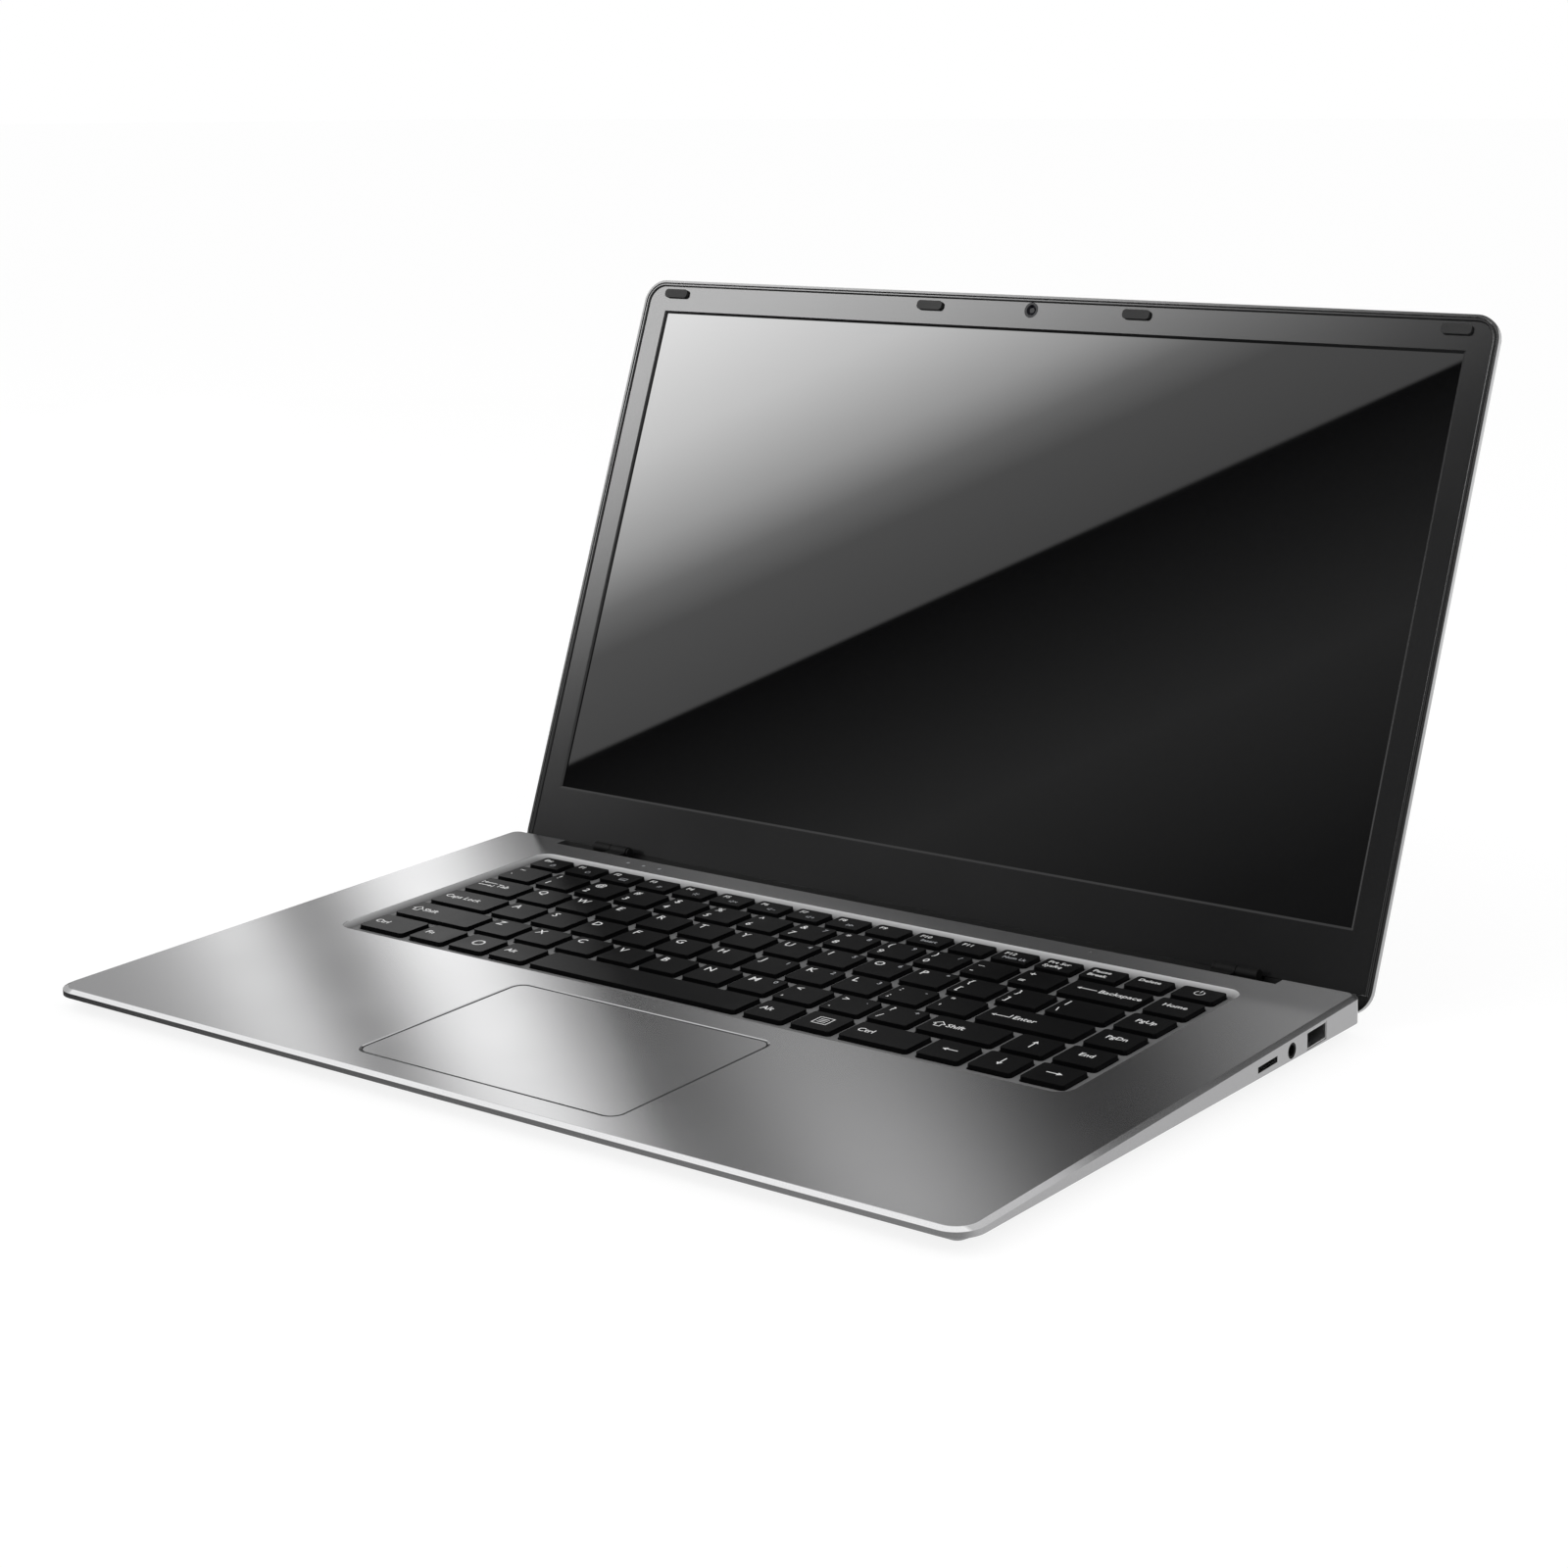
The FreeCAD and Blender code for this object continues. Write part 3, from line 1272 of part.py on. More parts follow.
def lid_boards():
    """The display's driver board below the backlight and the camera's board above it."""
    half = "(arm_inner - driver_board_side)"
    driver = block("driver_board", "2 * " + half, "driver_board_height", "driver_board_thickness", "-" + half,
                   "backlight_low - driver_board_gap - driver_board_height", "-lid_floor")
    camera = block("camera_board", "camera_board_width", "camera_board_height", "camera_board_thickness",
                   "-camera_board_width / 2", "camera_y - camera_board_height / 2",
                   "-display_level - camera_board_thickness")
    node(group("lid_boards", [driver, camera]), "lid_boards", "lid")


def camera_lens():
    """A short barrel with a cone sunk towards its small glass."""
    barrel = cylinder("lens_barrel", "camera_radius", "bezel_low - bezel_face", "0", "camera_y", "-bezel_low")
    dish = cone("lens_dish", "camera_cone / 2", "camera_cone", "bezel_recess", "0", "camera_y",
                "-bezel_face - bezel_recess")
    node(cut("camera_lens", barrel, dish), "camera_lens", "lid")


def lid_bumpers():
    bumpers = []
    for place in ("bumper_middle", "lid_width / 2 - bumper_edge"):
        for x, y in mirrored(place, "camera_y"):
            bumpers.append(rounded_plate("bumper", "bumper_length", "bumper_width",
                                         "bezel_recess + bumper_rise", "end_round * bumper_width", x, y,
                                         "bumper_rise - lid_face"))
    node(group("lid_bumpers", bumpers), "lid_bumpers", "lid")


# The three frames at rest, and the files


def rest_frames():
    deck = Placement(Vector(0, 0, value("foot_height + pan_depth + rim_front")),
                     Rotation(Vector(1, 0, 0), value("deck_tilt")))
    table = Placement(Vector(0, 0, value("foot_height + pan_depth")), Rotation())
    hinge = Placement(Vector(0, value("hinge_back"), -value("hinge_drop")),
                      Rotation(Vector(1, 0, 0), 180 - value("open_angle")))
    return {"deck": deck, "table": table, "lid": deck.multiply(hinge)}


def finish():
    """Sets every node in its frame, with the whole centred front to back, and writes the files."""
    doc.recompute()
    broken = [item.Name for item in doc.Objects if "Invalid" in item.State or "Error" in item.State]
    if broken:
        raise RuntimeError("not built: " + ", ".join(broken))
    frames = rest_frames()
    whole = FreeCAD.BoundBox()
    for item, frame in nodes:
        if item.Shape.isNull() or not item.Shape.isValid():
            raise RuntimeError("not a valid shape: " + item.Label)
        item.Placement = frames[frame]
        whole.add(item.Shape.optimalBoundingBox(False, False))
    shift = Vector(0, -(whole.YMin + whole.YMax) / 2, 0)
    os.makedirs("parts", exist_ok=True)
    for item, frame in nodes:
        item.Placement.Base = item.Placement.Base + shift
        item.Shape.exportStep("parts/%s.step" % item.Label)
    print("set forward by %.4f mm, whole %.2f x %.2f x %.2f mm" % (
        -shift.y, whole.XLength, whole.YLength, whole.ZLength))


key_caps()
key_domes()
keyboard_plates()
top_case()
bottom_cover()
rubber_feet()
bottom_screws()
hinge_trough()
touchpad()
boards()
battery_and_speakers()
lights_and_microphone()
usb_sockets()
audio_jack()
card_socket()
video_socket()
power_inlet()
hinge_brackets()
hinge_arms()
hinge_pins()
lid_shell()
lid_bezel()
lid_foot_strip()
display()
lid_boards()
camera_lens()
lid_bumpers()
finish()
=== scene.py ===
"""Looks of an open laptop computer: finishes for its solids, printed keys, lights and camera."""
import json
import math
from collections import namedtuple

import bpy
from mathutils import Matrix, Vector


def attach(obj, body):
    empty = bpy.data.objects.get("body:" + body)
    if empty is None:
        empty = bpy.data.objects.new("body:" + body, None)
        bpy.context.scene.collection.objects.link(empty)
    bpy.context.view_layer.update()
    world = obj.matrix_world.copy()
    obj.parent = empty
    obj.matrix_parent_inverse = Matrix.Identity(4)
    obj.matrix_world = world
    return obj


bl_info = {
    "name": "Open laptop computer",
    "version": (1, 0, 0),
    "blender": (4, 5, 0),
    "location": "View3D > Sidebar > Laptop",
    "description": "Dresses the solids of a laptop computer and sets its studio",
    "category": "Object",
}

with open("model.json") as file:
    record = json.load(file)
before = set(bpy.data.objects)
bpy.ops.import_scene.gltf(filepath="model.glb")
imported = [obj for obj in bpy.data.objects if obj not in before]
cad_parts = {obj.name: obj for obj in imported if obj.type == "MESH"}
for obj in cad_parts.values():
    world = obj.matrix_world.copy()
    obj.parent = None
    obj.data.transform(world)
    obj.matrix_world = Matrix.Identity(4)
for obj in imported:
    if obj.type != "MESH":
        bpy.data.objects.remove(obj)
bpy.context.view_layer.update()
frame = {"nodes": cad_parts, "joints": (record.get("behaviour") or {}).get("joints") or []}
NODES = frame["nodes"]
MM = 0.001
ACROSS = Vector((1, 0, 0))

# The deck's own axes, read from the way the keys travel
KEY_AXIS = next(Vector(joint["axis"]) for joint in frame["joints"] if joint["name"] == "space_bar_press")
DECK_UP = KEY_AXIS.normalized()
DECK_BACK = Vector((0, DECK_UP.z, -DECK_UP.y))
DECK_TILT = math.atan2(-DECK_UP.y, DECK_UP.z)

# The way the screen faces: down on the deck when shut, turned by the whole hinge travel as it stands
LID_OPENING = math.radians(112.7)
LID_FACING = Matrix.Rotation(-LID_OPENING, 3, "X") @ -DECK_UP

# Where a finish, a painted shade or a painted highlight changes, measured inwards from the faces and edges of
# the solids
FACE_SKIN = 0.04 * MM
EDGE_BLEND = 1 * MM
LID_RIM = 0.2 * MM
LID_RIM_BLEND = 0.05 * MM
WELL_FRONT = 90 * MM
WELL_REAR = 10 * MM
WELL_SIDE = 5 * MM
# The next two: depths between which the painted shade in the keyboard well darkens towards the floor
WELL_FLOOR = 2.0 * MM
WELL_TOP = 0.1 * MM
BEVEL_BACK = 4 * MM
BEVEL_DROP = 0.9 * MM

# How much brighter the bevel is than the rest of the deck: partly its polish, partly a painted highlight
BEVEL_POLISH_AND_HIGHLIGHT = 1.6

# The touchpad's corner and gap, and the rounding of the deck's edge towards it
PAD_CORNER = 4.0 * MM
PAD_GAP = 0.35 * MM
PAD_EDGE = 0.8 * MM
PAD_EDGE_DROP = 0.55 * MM

# The camera: its place, its turn, tilt and roll in degrees, and the shift of its frame
CAMERA_PLACE = Vector((0.57935, -0.73489, 0.29593))
CAMERA_ANGLES = (36.478, 13.40, -1.364)
CAMERA_SHIFT = (-0.0583, -0.0473)

# The middle of what the screen mirrors to the camera, and the white that the floor adds to its own shade
SCREEN_MIRRORS = Vector((-1.0725, -1.3185, 0.9946))
FLOOR_GLOW = 1.05
FLOOR_GLOW_SHARE = 0.8

# What is printed on the keys: a sign, the sign behind it and the small sign beside it
FUNCTION_SIGNS = [("Esc", "lock"), ("F1", "ring"), ("F2", "pad"), ("F3", "small_sun"), ("F4", "sun"),
                  ("F5", "mute"), ("F6", "quieter"), ("F7", "louder"), ("F8", "skip"), ("F9", ""),
                  ("F10", "Insert"), ("F11", ""), ("F12", "Num Lk"), ("Prt Scr", "SysRq"),
                  ("Pause", "Break"), ("Delete", "")]
NUMBER_SIGNS = ["`~", "1!", "2@", "3#", "4$", "5%", "6^", "7&7", "8*8", "9(9", "0)/", "-_", "=+"]
UPPER_SIGNS = ["Q", "W", "E", "R", "T", "Y", "U 4", "I 5", "O 6", "P *", "[{", "]}"]
HOME_SIGNS = ["A", "S", "D", "F", "G", "H", "J 1", "K 2", "L 3", ";:-", "'\""]
LOWER_SIGNS = ["Z", "X", "C", "V", "B", "N", "M 0", ",<", ".>.", "/?+"]
LETTER_RUNS = {"number_keys": NUMBER_SIGNS, "upper_letter_keys": UPPER_SIGNS, "home_letter_keys": HOME_SIGNS,
               "lower_letter_keys": LOWER_SIGNS, "backslash_key": ["\\|"]}

# Words in each run, the space before them in millimetres (none: in the middle), and how far back they are
WORD_RUNS = {"paging_keys": (["End", "PgDn", "PgUp", "Home"], None, 1.2),
             "left_ctrl_key": (["Ctrl"], 1.4, 0.2), "right_ctrl_key": (["Ctrl"], 2.4, 0.6),
             "caps_key": (["Caps Lock"], 1.2, 0.6), "left_modifier_keys": (["Fn", "", "Alt"], 2.0, 0.2),
             "right_modifier_keys": (["Alt", ""], 2.0, 0.6)}
SIGN_KEYS = ["tab_key", "backspace_key", "enter_key", "left_shift_key", "right_shift_key", "power_key"]
ARROW_KEYS = {"arrow_left_key": 180, "arrow_right_key": 0, "arrow_up_key": 90, "arrow_down_key": -90}
KEY_NODES = ["function_keys", "space_bar", *LETTER_RUNS, *WORD_RUNS, *SIGN_KEYS, *ARROW_KEYS]
KEY_GAP = 3.1 * MM
KEY_TAPER = 0.2 * MM
KEY_EDGE = 0.28 * MM
Key = namedtuple("Key", "x along top half")


def ring(radius, x=0, y=0, start=0, end=360, steps=12):
    """Places round a circle or an arc, in millimetres."""
    angles = [math.radians(start + (end - start) * i / steps) for i in range(steps + 1)]
    return [(x + radius * math.cos(a), y + radius * math.sin(a)) for a in angles]


def sun(radius, reach):
    rays = [[ring(reach[0], start=a)[0], ring(reach[1], start=a)[0]] for a in range(0, 360, 60)]
    return [ring(radius, steps=8)] + rays


SPEAKER = [(-1.7, -0.4), (-1.1, -0.4), (-0.4, -1.0), (-0.4, 1.0), (-1.1, 0.4), (-1.7, 0.4), (-1.7, -0.4)]

# Small signs drawn with lines, in millimetres about their middle
DRAWN_SIGNS = {
    "lock": [[(-0.8, -1.0), (0.8, -1.0), (0.8, 0.3), (-0.8, 0.3), (-0.8, -1.0)],
             [(-0.5, 0.3), (-0.5, 1.0), (0.5, 1.0), (0.5, 0.3)]],
    "ring": [ring(1.0, start=60, end=360)],
    "pad": [[(-1.5, -1.0), (1.5, -1.0), (1.5, 1.0), (-1.5, 1.0), (-1.5, -1.0)], [(-1.5, -0.4), (1.5, -0.4)]],
    "small_sun": sun(0.45, (0.75, 1.1)),
    "sun": sun(0.65, (1.0, 1.4)),
    "mute": [SPEAKER, [(0.4, -0.6), (1.6, 0.6)], [(0.4, 0.6), (1.6, -0.6)]],
    "quieter": [SPEAKER, [(0.4, 0), (1.6, 0)]],
    "louder": [SPEAKER, [(0.4, 0), (1.6, 0)], [(1.0, -0.6), (1.0, 0.6)]],
    "skip": [[(x, -0.8), (x + 1.2, 0), (x, 0.8), (x, -0.8)] for x in (-1.4, 0.0)],
}


# Settings that a user would change


class LaptopFinishes(bpy.types.PropertyGroup):
    """Colours and gloss of the laptop's pieces."""
    silver: bpy.props.FloatVectorProperty(
        name="Silver", description="Metal of the deck, touchpad and lid", subtype="COLOR",
        default=(0.5, 0.5, 0.505), min=0, max=1)
    silver_gloss: bpy.props.FloatProperty(
        name="Silver roughness", description="How much the metal blurs what it mirrors", default=0.15,
        min=0, max=1)
    key_black: bpy.props.FloatVectorProperty(
        name="Keys", description="Plastic of the key caps", subtype="COLOR", default=(0.0025, 0.0025, 0.0027),
        min=0, max=1)
    print_white: bpy.props.FloatVectorProperty(
        name="Print", description="Main signs on the keys", subtype="COLOR", default=(0.8, 0.8, 0.8),
        min=0, max=1)
    print_grey: bpy.props.FloatVectorProperty(
        name="Small print", description="Second signs on the keys", subtype="COLOR",
        default=(0.4, 0.41, 0.43), min=0, max=1)
    bezel_black: bpy.props.FloatVectorProperty(
        name="Bezel", description="Glossy plastic round the screen", subtype="COLOR",
        default=(0.007, 0.007, 0.0073), min=0, max=1)
    screen_black: bpy.props.FloatVectorProperty(
        name="Screen", description="Dark glass of the screen", subtype="COLOR",
        default=(0.002, 0.002, 0.0022), min=0, max=1)


class LaptopPrint(bpy.types.PropertyGroup):
    """Sizes of what is printed on the keys."""
    letter: bpy.props.FloatProperty(
        name="Letters", description="Type size of letters", default=5.0 * MM, unit="LENGTH")
    word: bpy.props.FloatProperty(
        name="Words", description="Type size of words", default=3.9 * MM, unit="LENGTH")
    small: bpy.props.FloatProperty(
        name="Small signs", description="Type size of second signs", default=3.1 * MM, unit="LENGTH")
    depth: bpy.props.FloatProperty(
        name="Ink", description="Half the thickness of the print", default=0.008 * MM, unit="LENGTH")
    stroke: bpy.props.FloatProperty(
        name="Line", description="Width of drawn lines", default=0.36 * MM, unit="LENGTH")
    weight: bpy.props.FloatProperty(
        name="Weight", description="How much the letters are thickened", default=0.04 * MM, unit="LENGTH")


class LaptopStage(bpy.types.PropertyGroup):
    """Lights, floor and camera."""
    lens: bpy.props.FloatProperty(
        name="Lens", description="Focal length on a 36 mm sensor", default=65.98, subtype="DISTANCE_CAMERA")
    key_power: bpy.props.FloatProperty(
        name="Main light", description="Power of the main soft box", default=9.0, subtype="POWER")
    fill_power: bpy.props.FloatProperty(
        name="Fill light", description="Power of the fill soft box", default=4.0, subtype="POWER")
    daylight: bpy.props.FloatProperty(
        name="Room", description="Light of the white room on matt surfaces", default=0.8, min=0)


# Shader helpers

GRAIN_ENDS = (0.3, 0.7)
GRAIN_DEPTH = 0.02 * MM


def socket(group, name, kind, way, default=None):
    made = group.interface.new_socket(name=name, in_out=way, socket_type=kind)
    if default is not None:
        made.default_value = default
    return made


def grain_group():
    """Fine and broad noise: a mask round 0.5, a height for bumps and a broad smudge."""
    group = bpy.data.node_groups.new("surface_grain", "ShaderNodeTree")
    socket(group, "Fine scale", "NodeSocketFloat", "INPUT", 3000.0)
    socket(group, "Broad scale", "NodeSocketFloat", "INPUT", 20.0)
    socket(group, "Grain", "NodeSocketFloat", "OUTPUT")
    socket(group, "Smudge", "NodeSocketFloat", "OUTPUT")
    nodes = group.nodes
    inside = nodes.new("NodeGroupInput")
    outside = nodes.new("NodeGroupOutput")
    place = nodes.new("ShaderNodeTexCoord")
    for scale, out in (("Fine scale", "Grain"), ("Broad scale", "Smudge")):
        noise = nodes.new("ShaderNodeTexNoise")
        noise.inputs["Detail"].default_value = 3.0
        group.links.new(place.outputs["Object"], noise.inputs["Vector"])
        group.links.new(inside.outputs[scale], noise.inputs["Scale"])
        group.links.new(noise.outputs["Fac"], outside.inputs[out])
    return group


def distance_along(tree, direction):
    """How far a place lies along a direction."""
    place = tree.nodes.new("ShaderNodeTexCoord")
    dot = tree.nodes.new("ShaderNodeVectorMath")
    dot.operation = "DOT_PRODUCT"
    dot.inputs[1].default_value = direction
    tree.links.new(place.outputs["Object"], dot.inputs[0])
    return dot.outputs["Value"]


def mapped(tree, value, ends, levels=(0.0, 1.0)):
    """Maps a value between two ends to two levels, and holds it beyond them."""
    spread = tree.nodes.new("ShaderNodeMapRange")
    for name, level in zip(("From Min", "From Max", "To Min", "To Max"), (*ends, *levels)):
        spread.inputs[name].default_value = level
    tree.links.new(value, spread.inputs["Value"])
    return spread.outputs["Result"]


def worked(tree, operation, first, *others):
    """A sum on what a socket gives and on further sockets or numbers."""
    node = tree.nodes.new("ShaderNodeMath")
    node.operation = operation
    tree.links.new(first, node.inputs[0])
    for slot, other in zip(node.inputs[1:], others):
        if isinstance(other, bpy.types.NodeSocket):
            tree.links.new(other, slot)
        else:
            slot.default_value = other
    return node.outputs[0]


def finish_material(name, colour, roughness, metallic=0.0, fine=3000.0, broad=20.0, shade=0.06, polish=0.04,
                    bump=0.02, shine=0.5):
    """A finish whose colour, gloss and relief vary a little over the surface."""
    material = bpy.data.materials.new(name)
    material.use_nodes = True
    tree = material.node_tree
    shader = tree.nodes["Principled BSDF"]
    shader.inputs["Metallic"].default_value = metallic
    shader.inputs["Specular IOR Level"].default_value = shine
    grain = tree.nodes.new("ShaderNodeGroup")
    grain.node_tree = bpy.data.node_groups["surface_grain"]
    grain.inputs["Fine scale"].default_value = fine
    grain.inputs["Broad scale"].default_value = broad
    tint = tree.nodes.new("ShaderNodeMix")
    tint.data_type = "RGBA"
    tint.inputs["A"].default_value = (*[c * (1 - shade) for c in colour], 1)
    tint.inputs["B"].default_value = (*[min(1, c * (1 + shade)) for c in colour], 1)
    tree.links.new(mapped(tree, grain.outputs["Grain"], GRAIN_ENDS), tint.inputs["Factor"])
    tree.links.new(tint.outputs["Result"], shader.inputs["Base Color"])
    gloss = (max(0.01, roughness - polish), roughness + polish)
    tree.links.new(mapped(tree, grain.outputs["Smudge"], GRAIN_ENDS, gloss), shader.inputs["Roughness"])
    relief = tree.nodes.new("ShaderNodeBump")
    relief.inputs["Strength"].default_value = bump
    relief.inputs["Distance"].default_value = GRAIN_DEPTH
    tree.links.new(grain.outputs["Grain"], relief.inputs["Height"])
    tree.links.new(relief.outputs["Normal"], shader.inputs["Normal"])
    return material


def paint(material, *names):
    for name in names:
        NODES[name].data.materials.clear()
        NODES[name].data.materials.append(material)


def soften(width, segments, *names):
    """Rounds the sharp edges of solids without touching their meshes."""
    for name in names:
        item = NODES[name]
        weld = item.modifiers.new("weld", "WELD")
        weld.merge_threshold = 0.001 * MM
        bevel = item.modifiers.new("edge", "BEVEL")
        bevel.width = width
        bevel.segments = segments
        bevel.limit_method = "ANGLE"
        bevel.angle_limit = math.radians(40)
        bevel.harden_normals = False
        normals = item.modifiers.new("normals", "WEIGHTED_NORMAL")
        normals.keep_sharp = False


# Places on the keys


def spans(item, axis):
    """Lowest and highest place of a mesh along an axis."""
    places = [vertex.co.dot(axis) for vertex in item.data.vertices]
    return min(places), max(places)


def key_places(name, count):
    """The tops of the keys of one run, from the left or from the front."""
    item = NODES[name]
    low_x, high_x = spans(item, ACROSS)
    front, back = spans(item, DECK_BACK)
    top = spans(item, DECK_UP)[1]
    upright = name == "paging_keys"
    pitch_x = (high_x - low_x + KEY_GAP) / (1 if upright else count)
    pitch_y = (back - front + KEY_GAP) / (count if upright else 1)
    half = (pitch_x - KEY_GAP) / 2 - KEY_TAPER
    keys = []
    for i in range(count):
        across, along = (0, i) if upright else (i, 0)
        x = low_x + pitch_x * (across + 0.5) - KEY_GAP / 2
        y = front + pitch_y * (along + 0.5) - KEY_GAP / 2
        keys.append(Key(x, y, top, half))
    return keys


class KeyPrint:
    """Gathers the signs of one run of keys, in millimetres from each key's middle, as one printed piece."""

    def __init__(self, name, settings, tones):
        self.name = name
        self.settings = settings
        self.tones = tones
        self.items = []

    def place(self, key, x, y):
        deck = DECK_BACK * (key.along + y * MM) + DECK_UP * (key.top + self.settings.depth)
        return Vector((key.x + x * MM, 0, 0)) + deck

    def keep(self, item, tone):
        item.data.materials.append(self.tones[tone])
        self.items.append(item)

    def words(self, key, words, x, y, size, tone="white", align="LEFT"):
        """Words with the middle of their capitals at a height y."""
        base = y - size / MM * 0.34
        bpy.ops.object.text_add(location=self.place(key, x, base), rotation=(DECK_TILT, 0, 0))
        text = bpy.context.object
        text.data.body = words
        text.data.size = size
        text.data.align_x = align
        text.data.align_y = "TOP_BASELINE"
        text.data.extrude = self.settings.depth
        text.data.resolution_u = 2
        text.data.offset = self.settings.weight
        self.keep(text, tone)

    def put(self, item, key, x, y, turn, size, tone):
        """Sets a flat piece of ink on a key, turned about the key's own upright."""
        facing = Matrix.Rotation(DECK_TILT, 4, "X") @ Matrix.Rotation(turn, 4, "Z")
        flat = Matrix.Diagonal((*size, 2 * self.settings.depth, 1))
        item.matrix_world = Matrix.Translation(self.place(key, x, y)) @ facing @ flat
        self.keep(item, tone)

    def bar(self, key, start, end, tone="white", width=1.0):
        run = Vector(end) - Vector(start)
        middle = (Vector(end) + Vector(start)) / 2
        stroke = self.settings.stroke * width
        bpy.ops.mesh.primitive_cube_add(size=1)
        self.put(bpy.context.object, key, middle.x, middle.y, math.atan2(run.y, run.x),
                 (run.length * MM + stroke * 0.6, stroke), tone)

    def lines(self, key, places, middle=(0, 0), tone="white", width=1.0):
        moved = [Vector(place) + Vector(middle) for place in places]
        for start, end in zip(moved, moved[1:]):
            self.bar(key, start, end, tone, width)

    def arrow(self, key, tail, length, degrees, head=1.0):
        """A line with a solid head, from its tail."""
        turn = math.radians(degrees)
        ahead = Vector((math.cos(turn), math.sin(turn)))
        tip = Vector(tail) + ahead * length
        self.bar(key, tail, tip - ahead * head, width=1.2)
        bpy.ops.mesh.primitive_cylinder_add(vertices=3, radius=head * MM, depth=1)
        middle = tip - ahead * head
        self.put(bpy.context.object, key, middle.x, middle.y, turn - math.pi / 2, (1, 1), "white")

    def join(self):
        bpy.ops.object.select_all(action="DESELECT")
        for item in self.items:
            item.select_set(True)
        bpy.context.view_layer.objects.active = self.items[0]
        bpy.ops.object.convert(target="MESH")
        bpy.ops.object.join()
        piece = bpy.context.object
        piece.name = self.name + "_print"
        bpy.ops.object.transform_apply(location=True, rotation=True, scale=True)
        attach(piece, self.name)


# Operators: one for each group of like pieces


class LAPTOP_OT_metal(bpy.types.Operator):
    """Gives the deck, touchpad, lid and steel pieces their metal"""
    bl_idname = "laptop.metal"
    bl_label = "Metal pieces"

    def execute(self, context):
        finishes = context.scene.laptop_finishes
        silver = self.silver("satin_silver", finishes.silver, finishes.silver_gloss, 0.96)
        paint(silver, "touchpad_plate")
        paint(self.deck_silver(silver), "top_case")
        lid = self.silver("lid_silver", finishes.silver, finishes.silver_gloss + 0.08, 1.0)
        paint(self.lid_rim(lid), "lid_shell")
        steel = finish_material("bright_steel", (0.6, 0.6, 0.6), 0.25, metallic=1.0, fine=1500.0, broad=80.0)
        paint(steel, "usb_shells", "video_socket", "keyboard_back_plate", "touchpad_tray", "microphone")
        black = finish_material("black_steel", (0.004, 0.004, 0.004), 0.6, fine=1500.0, broad=80.0, shine=0.1)
        paint(black, "hinge_brackets", "hinge_arms", "hinge_pins", "bottom_screws")
        return {"FINISHED"}

    def silver(self, name, colour, roughness, metallic):
        """Blasted metal with an even grain."""
        return finish_material(name, colour, roughness, metallic=metallic, fine=2600.0, broad=14.0,
                               shade=0.04, polish=0.01, bump=0.0)

    def lid_rim(self, silver):
        """The lid's silver, with the narrow rim that faces the reader black like the bezel."""
        tree = silver.node_tree
        shader = tree.nodes["Principled BSDF"]
        face = spans(NODES["lid_shell"], LID_FACING)[1]
        rim = mapped(tree, distance_along(tree, LID_FACING), (face - LID_RIM, face - LID_RIM + LID_RIM_BLEND))
        self.dulled(tree, shader.inputs["Metallic"], rim, 0.0)
        self.shaded(tree, shader.inputs["Base Color"], rim, mapped(tree, rim, (0.0, 1.0), (1.0, 0.01)))
        return silver

    def deck_silver(self, silver):
        """The same silver, dull and with painted shade in the keyboard well, brighter on the front bevel from
        polish and a painted highlight, round at the touchpad.
        """
        material = silver.copy()
        material.name = "deck_silver"
        tree = material.node_tree
        shader = tree.nodes["Principled BSDF"]
        self.dull_well_and_paint_shade(tree, shader)
        self.polish_bevel_and_paint_highlight(tree, shader)
        self.pad_edge(tree, shader.inputs["Normal"])
        return material

    def dull_well_and_paint_shade(self, tree, shader):
        """Blasts the floor and walls of the keyboard well dull, and paints shade on them, darker towards the
        floor.
        """
        face = spans(NODES["top_case"], DECK_UP)[1]
        front, rear = spans(NODES["top_case"], DECK_BACK)
        left, right = spans(NODES["top_case"], ACROSS)
        well = self.region(tree, ((DECK_UP, face - FACE_SKIN, -FACE_SKIN),
                                  (DECK_BACK, front + WELL_FRONT, EDGE_BLEND),
                                  (DECK_BACK, rear - WELL_REAR, -EDGE_BLEND),
                                  (ACROSS, left + WELL_SIDE, EDGE_BLEND),
                                  (ACROSS, right - WELL_SIDE, -EDGE_BLEND)))
        for name, dull in (("Metallic", 0.0), ("Roughness", 0.5)):
            self.dulled(tree, shader.inputs[name], well, dull)
        # Painted shade: the well's colour is darkened, most at its floor and less towards the top
        tone = mapped(tree, distance_along(tree, DECK_UP), (face - WELL_FLOOR, face - WELL_TOP), (0.26, 0.85))
        self.shaded(tree, shader.inputs["Base Color"], well, tone)

    def polish_bevel_and_paint_highlight(self, tree, shader):
        """Brightens the bevel along the front edge: partly polish, partly a painted highlight."""
        face = spans(NODES["top_case"], DECK_UP)[1]
        front = spans(NODES["top_case"], DECK_BACK)[0]
        bevel = self.region(tree, ((DECK_UP, face - FACE_SKIN, -FACE_SKIN),
                                   (DECK_UP, face - BEVEL_DROP, FACE_SKIN),
                                   (DECK_BACK, front + BEVEL_BACK + EDGE_BLEND, -EDGE_BLEND)))
        # Painted highlight: the bevel's colour is raised above the deck's, partly for its polish
        polish = tree.nodes.new("ShaderNodeValue")
        polish.outputs[0].default_value = BEVEL_POLISH_AND_HIGHLIGHT
        self.shaded(tree, shader.inputs["Base Color"], bevel, polish.outputs[0])

    def region(self, tree, steps):
        """A mask that is one past every step. A step has a direction, a start and the width of its blend."""
        whole = None
        for direction, start, blend in steps:
            mask = mapped(tree, distance_along(tree, direction), (start, start + blend))
            whole = mask if whole is None else worked(tree, "MULTIPLY", whole, mask)
        return whole

